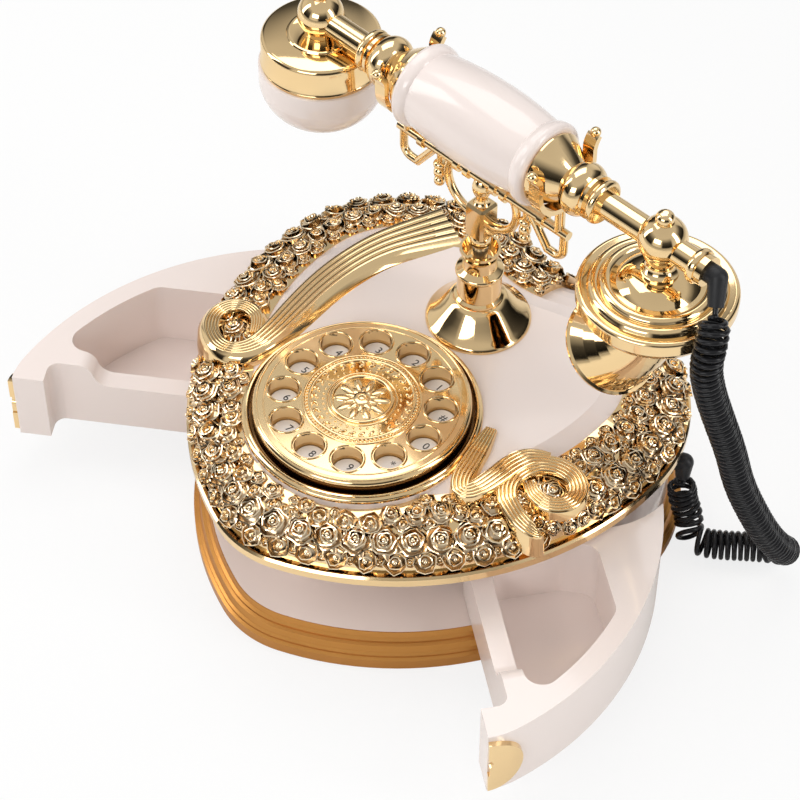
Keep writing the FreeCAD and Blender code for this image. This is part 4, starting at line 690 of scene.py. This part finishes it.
def islandsOf(mesh):
    bm = bmesh.new()
    bm.from_mesh(mesh)
    bmesh.ops.remove_doubles(bm, verts=bm.verts, dist=merge)
    bm.verts.index_update()
    seen = set()
    islands = []
    for start in bm.verts:
        if start.index in seen:
            continue
        seen.add(start.index)
        edge = [start]
        island = []
        while edge:
            v = edge.pop()
            island.append(v.co.copy())
            for e in v.link_edges:
                other = e.other_vert(v)
                if other.index not in seen:
                    seen.add(other.index)
                    edge.append(other)
        islands.append(island)
    bm.free()
    return islands


def roseSpots():
    s = roseSettings
    band = surfaceOf(nodes["rose_band"].data)
    found = []
    for island in islandsOf(nodes["rim_roses"].data):  # the solid roses of the frame
        middle = sum(island, Vector()) / len(island)
        hit, normal = band.find_nearest(middle)[:2]
        reach = max((p - middle - normal * (p - middle).dot(normal)).length for p in island)
        found.append((hit, normal, reach * s["swell"]))
    found.sort(key=lambda spot: (round(spot[0].x, s["digits"]), round(spot[0].y, s["digits"])))
    for x, y, radius in s["eyes"]:
        hit, normal = band.ray_cast(Vector((x, y, s["above"])) * mm, down)[:2]
        found.append((hit, normal, radius * mm))
    volute = surfaceOf(ribbons[-1].data)
    for x, y, z, radius in s["walled"]:
        hit, normal = volute.find_nearest(Vector((x, y, z)) * mm)[:2]
        found.append((hit, normal, radius * mm))
    return found


def rimOutline(surface):
    s = roseSettings
    outline = []
    for k in range(s["outlineSteps"]):
        a = 2 * math.pi * k / s["outlineSteps"]
        way = Vector((math.cos(a), math.sin(a), 0))
        start = Vector((*s["centre"], s["lipHeight"])) * mm + way * (s["outside"] * mm)
        outline.append(surface.ray_cast(start, -way)[0])
    return outline


def insetLine(outline, inset):
    near = roseSettings["smoothing"]
    count = len(outline)
    line = []
    for k, p in enumerate(outline):
        run = outline[(k + near) % count] - outline[k - near]
        inward = Vector((-run.y, run.x, 0)).normalized()
        line.append(p + inward * inset * mm)
    return line


def fillSpots(found):
    s = roseSettings
    band = surfaceOf(nodes["rose_band"].data)
    covers = [surfaceOf(piece.data) for piece in ribbons]
    outline = rimOutline(band)
    left, right, back = s["bare"]
    dialX, dialY, dialR = s["dial"]
    for radius in s["fillers"]:
        for inset in s["insets"]:
            for p in evenly(insetLine(outline, inset), s["step"] * mm):
                above = Vector((p.x, p.y, s["above"] * mm))
                hit, normal = band.ray_cast(above, down)[:2]
                if hit is None or (left < p.x / mm < right and p.y / mm > back):
                    continue
                if math.hypot(p.x / mm - dialX, p.y / mm - dialY) < dialR + radius * s["dialGap"]:
                    continue
                if any(cover.ray_cast(above, down)[0] for cover in covers):
                    continue
                if all((hit - spot[0]).length > s["tight"] * (radius * mm + spot[2]) for spot in found):
                    found.append((hit, normal, radius * mm))


def buildRoses():
    s = roseSettings
    c = petalSettings
    spots = roseSpots()
    large = len(spots)
    fillSpots(spots)
    pick = random.Random(s["seed"])
    seeds = [s["seed"] + k for k in range(s["forms"])]
    bigs = [roseForm(c["bigCups"], c["bigSides"], True, seed) for seed in seeds]
    smalls = [roseForm(c["smallCups"], c["smallSides"], False, seed) for seed in seeds]
    bm = bmesh.new()
    bm.verts.layers.float.new("carvingShadeHeight")
    for k, (hit, normal, size) in enumerate(spots):
        up = (normal + Vector((0, 0, s["upright"]))).normalized()
        first = len(bm.verts)
        bm.from_mesh(pick.choice(bigs if k < large else smalls))
        bm.verts.ensure_lookup_table()
        stand = up.to_track_quat("Z", "Y").to_matrix().to_4x4()
        place = Matrix.Translation(hit - up * s["sink"] * mm) @ stand
        place = place @ Matrix.Rotation(pick.uniform(0, s["spin"]), 4, "Z") @ Matrix.Scale(size, 4)
        bmesh.ops.transform(bm, verts=bm.verts[first:], matrix=place)
    print("roses", large, "and", len(spots) - large, "small, faces", len(bm.faces))
    roses = addPiece("rimRoses", bm, carvedGold, "base", s["sharp"])
    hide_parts("rim_roses")


buildRoses()


# turned pieces: bezel, dark sleeve of painted shade in the dial groove, bell, ear cap and its rim

turnedSettings = {
    "steps": 128, "sharp": 35.0, "dialCentre": (0.0, -39.0), "bellCentre": (0.0, 40.0),
    # profiles: radius, height
    "bezel": ((50.6, 86.5), (50.6, 89.0), (50.9, 89.6), (51.4, 89.9), (52.0, 89.9), (52.4, 89.5),
              (52.5, 88.9), (52.9, 88.7), (53.5, 88.4), (53.9, 87.8), (54.0, 87.0), (54.0, 86.5)),
    # a thin dark sleeve round the dial plate's wall, painted shade in the groove under the bezel
    "grooveShade": ((49.05, 86.6), (50.5, 86.6), (50.5, 87.2), (49.5, 87.4), (49.3, 92.2), (49.05, 92.2)),
    "bell": ((6.2, 86.5), (24.5, 86.5), (24.5, 87.3), (24.3, 88.0), (23.6, 88.8), (22.4, 89.9),
             (20.3, 92.0), (17.9, 94.7), (15.6, 97.4), (13.6, 99.7), (12.2, 101.1), (11.0, 101.5),
             (6.2, 101.5)),
}

earSettings = {
    # profiles from a height just under the top of the frame's cap: radius, height
    "cap": ((24.6, -7.5), (27.5, -7.5), (27.5, -6.6), (28.0, -5.8), (27.5, -5.0), (27.5, 5.6),
            (27.2, 7.0), (26.3, 7.9), (25.4, 8.2), (15.8, 8.7), (15.4, 9.3), (14.6, 9.5), (13.8, 9.0),
            (6.0, 9.4), (6.0, 6.0), (24.6, 5.0)),
    "rim": ((26.4, -17.0), (29.04, -17.0), (29.04, -8.4), (28.8, -7.8), (28.2, -7.5), (26.4, -7.5)),
    "under": 0.9,
}


def addTurned(name, centre, profile, material, body):
    s = turnedSettings
    x, y = centre
    bm = bmesh.new()
    verts = [bm.verts.new((x + radius, y, height)) for radius, height in profile]
    edges = [bm.edges.new(pair) for pair in zip(verts, verts[1:] + verts[:1])]
    bmesh.ops.spin(bm, geom=verts + edges, cent=(x, y, 0), axis=(0, 0, 1), angle=2 * math.pi,
                   steps=s["steps"], use_merge=True)
    toMetres(bm)
    bmesh.ops.remove_doubles(bm, verts=bm.verts, dist=merge)
    bmesh.ops.recalc_face_normals(bm, faces=bm.faces)
    return addPiece(name, bm, material, body, s["sharp"])


def buildTurned():
    s = turnedSettings
    bezel = addTurned("dialBezel", s["dialCentre"], s["bezel"], polishedGold, "base")
    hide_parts("dial_bezel")
    # painted shade: a dark sleeve where the groove between dial plate and bezel is shaded
    addTurned("dialGrooveShade", s["dialCentre"], s["grooveShade"], shadowGold, "base")
    bell = addTurned("pedestalBell", s["bellCentre"], s["bell"], polishedGold, "base")
    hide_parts("pedestal_bell")
    print("bezel, seal and bell")


def buildEar():
    s = earSettings
    low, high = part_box("ear_cap")
    centre = ((low.x + high.x) / 2 / mm, (low.y + high.y) / 2 / mm)
    level = high.z / mm - s["under"]
    capLine = [(radius, level + height) for radius, height in s["cap"]]
    rimLine = [(radius, level + height) for radius, height in s["rim"]]
    cap = addTurned("earCap", centre, capLine, polishedGold, "handset")
    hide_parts("ear_cap")
    addTurned("earRim", centre, rimLine, ivoryGloss, "handset")
    print("ear cap and rim")


buildTurned()
buildEar()


# fine rings and medal of the dial

dialSettings = {
    "centre": (0.0, -39.0), "top": 94.5, "sharp": 60.0,
    # rings: radius, tube, then steps and sides
    "rings": ((47.2, 0.55), (43.9, 0.35), (26.2, 0.6), (15.6, 0.5)), "ringFine": (96, 8),
    "wells": 12, "wellPitch": 35.5, "firstWell": 62.0, "wellRing": (7.75, 0.45), "wellFine": (40, 6),
}

medalSettings = {
    "rope": {"count": 84, "radius": 24.6, "size": (1.3, 0.6, 0.85), "turn": 0.7, "fine": (8, 4)},
    "wreath": {"count": 30, "radius": 21.4, "spread": 0.9, "size": (1.9, 0.72, 0.9), "turn": 0.55,
               "fine": (10, 6)},
    "dots": {"count": 36, "radius": 17.4, "size": (0.65, 0.65, 0.7), "fine": (8, 4)},
    # rows of petals: radius, length, width, turn in petals
    "rosette": {"count": 10, "rows": ((8.6, 4.6, 1.9, 0.0), (4.6, 3.4, 1.5, 0.5)), "tall": 0.75,
                "rise": 0.25, "fine": (12, 6)},
    "boss": {"size": (2.3, 2.3, 1.2), "rise": 0.3, "fine": (16, 8)},
}


def roundDial(reach, angle, rise=0.0):
    s = dialSettings
    x, y = s["centre"]
    return Vector((x + reach * math.cos(angle), y + reach * math.sin(angle), s["top"] + rise))


def anglesOf(count, shift=0.0):
    return [2 * math.pi * (k + shift) / count for k in range(count)]


def addRing(bm, place, radius, tube, steps, sides):
    made = bmesh.ops.create_circle(bm, segments=sides, radius=tube)
    verts = made["verts"]
    edges = list(dict.fromkeys(e for v in verts for e in v.link_edges))
    bmesh.ops.rotate(bm, verts=verts, cent=(0, 0, 0), matrix=Matrix.Rotation(math.pi / 2, 3, "X"))
    bmesh.ops.translate(bm, verts=verts, vec=place + Vector((radius, 0, 0)))
    bmesh.ops.spin(bm, geom=verts + edges, cent=place, axis=(0, 0, 1), angle=2 * math.pi, steps=steps,
                   use_merge=True)


def addBlob(bm, place, size, turn, fine):
    made = bmesh.ops.create_uvsphere(bm, u_segments=fine[0], v_segments=fine[1], radius=1.0)
    form = Matrix.Translation(place) @ Matrix.Rotation(turn, 4, "Z") @ Matrix.Diagonal((*size, 1))
    bmesh.ops.transform(bm, verts=made["verts"], matrix=form)


def buildRings():
    s = dialSettings
    bm = bmesh.new()
    for radius, tube in s["rings"]:
        addRing(bm, roundDial(0.0, 0.0), radius, tube, *s["ringFine"])
    for k in range(s["wells"]):
        a = math.radians(s["firstWell"] + 360 * k / s["wells"])
        addRing(bm, roundDial(s["wellPitch"], a), *s["wellRing"], *s["wellFine"])
    toMetres(bm)
    bmesh.ops.recalc_face_normals(bm, faces=bm.faces)
    addPiece("dialRings", bm, polishedGold, "base", s["sharp"])
    print("dial rings", len(s["rings"]) + s["wells"])


def buildMedal():
    rope, wreath, dots, rosette, boss = medalSettings.values()
    bm = bmesh.new()
    for a in anglesOf(rope["count"]):
        addBlob(bm, roundDial(rope["radius"], a), rope["size"], a + rope["turn"], rope["fine"])
    for a in anglesOf(wreath["count"]):
        for side in (-1, 1):
            place = roundDial(wreath["radius"] + side * wreath["spread"], a)
            addBlob(bm, place, wreath["size"], a + math.pi / 2 - side * wreath["turn"], wreath["fine"])
    for a in anglesOf(dots["count"]):
        addBlob(bm, roundDial(dots["radius"], a), dots["size"], 0, dots["fine"])
    for reach, long, wide, turn in rosette["rows"]:
        for a in anglesOf(rosette["count"], turn):
            place = roundDial(reach, a, rosette["rise"] * turn)
            addBlob(bm, place, (long, wide, rosette["tall"]), a, rosette["fine"])
    addBlob(bm, roundDial(0.0, 0.0, boss["rise"]), boss["size"], 0, boss["fine"])
    toMetres(bm)
    addPiece("dialMedal", bm, polishedGold, "base", dialSettings["sharp"])
    print("dial medal")


buildRings()
buildMedal()


# key numbers

keySettings = {
    "marks": ("1", "2", "3", "4", "5", "6", "7", "8", "9", "*", "0", "#"),
    "names": ("1", "2", "3", "4", "5", "6", "7", "8", "9", "star", "0", "hash"),
    "size": 5.4, "thick": 0.05, "raise": 0.06, "above": 1.5, "sharp": 40.0,
}


def buildMarks():
    s = keySettings
    for mark, name in zip(s["marks"], s["names"]):
        low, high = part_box("key_" + name)
        data = bpy.data.curves.new("mark", "FONT")
        data.body = mark
        data.size = s["size"] * mm
        data.align_x = "CENTER"
        data.align_y = "CENTER"
        data.extrude = s["thick"] * mm
        text = bpy.data.objects.new("mark", data)
        scene.collection.objects.link(text)
        mesh = meshOf(text)
        bpy.data.objects.remove(text)
        x, y = (low.x + high.x) / 2, (low.y + high.y) / 2 + s["above"] * mm
        mesh.transform(Matrix.Translation((x, y, high.z + s["raise"] * mm)))
        bm = bmesh.new()
        bm.from_mesh(mesh)
        addPiece("keyMark." + name, bm, inkBlack, "key_" + name, s["sharp"])
    print("key numbers", len(s["marks"]))


buildMarks()
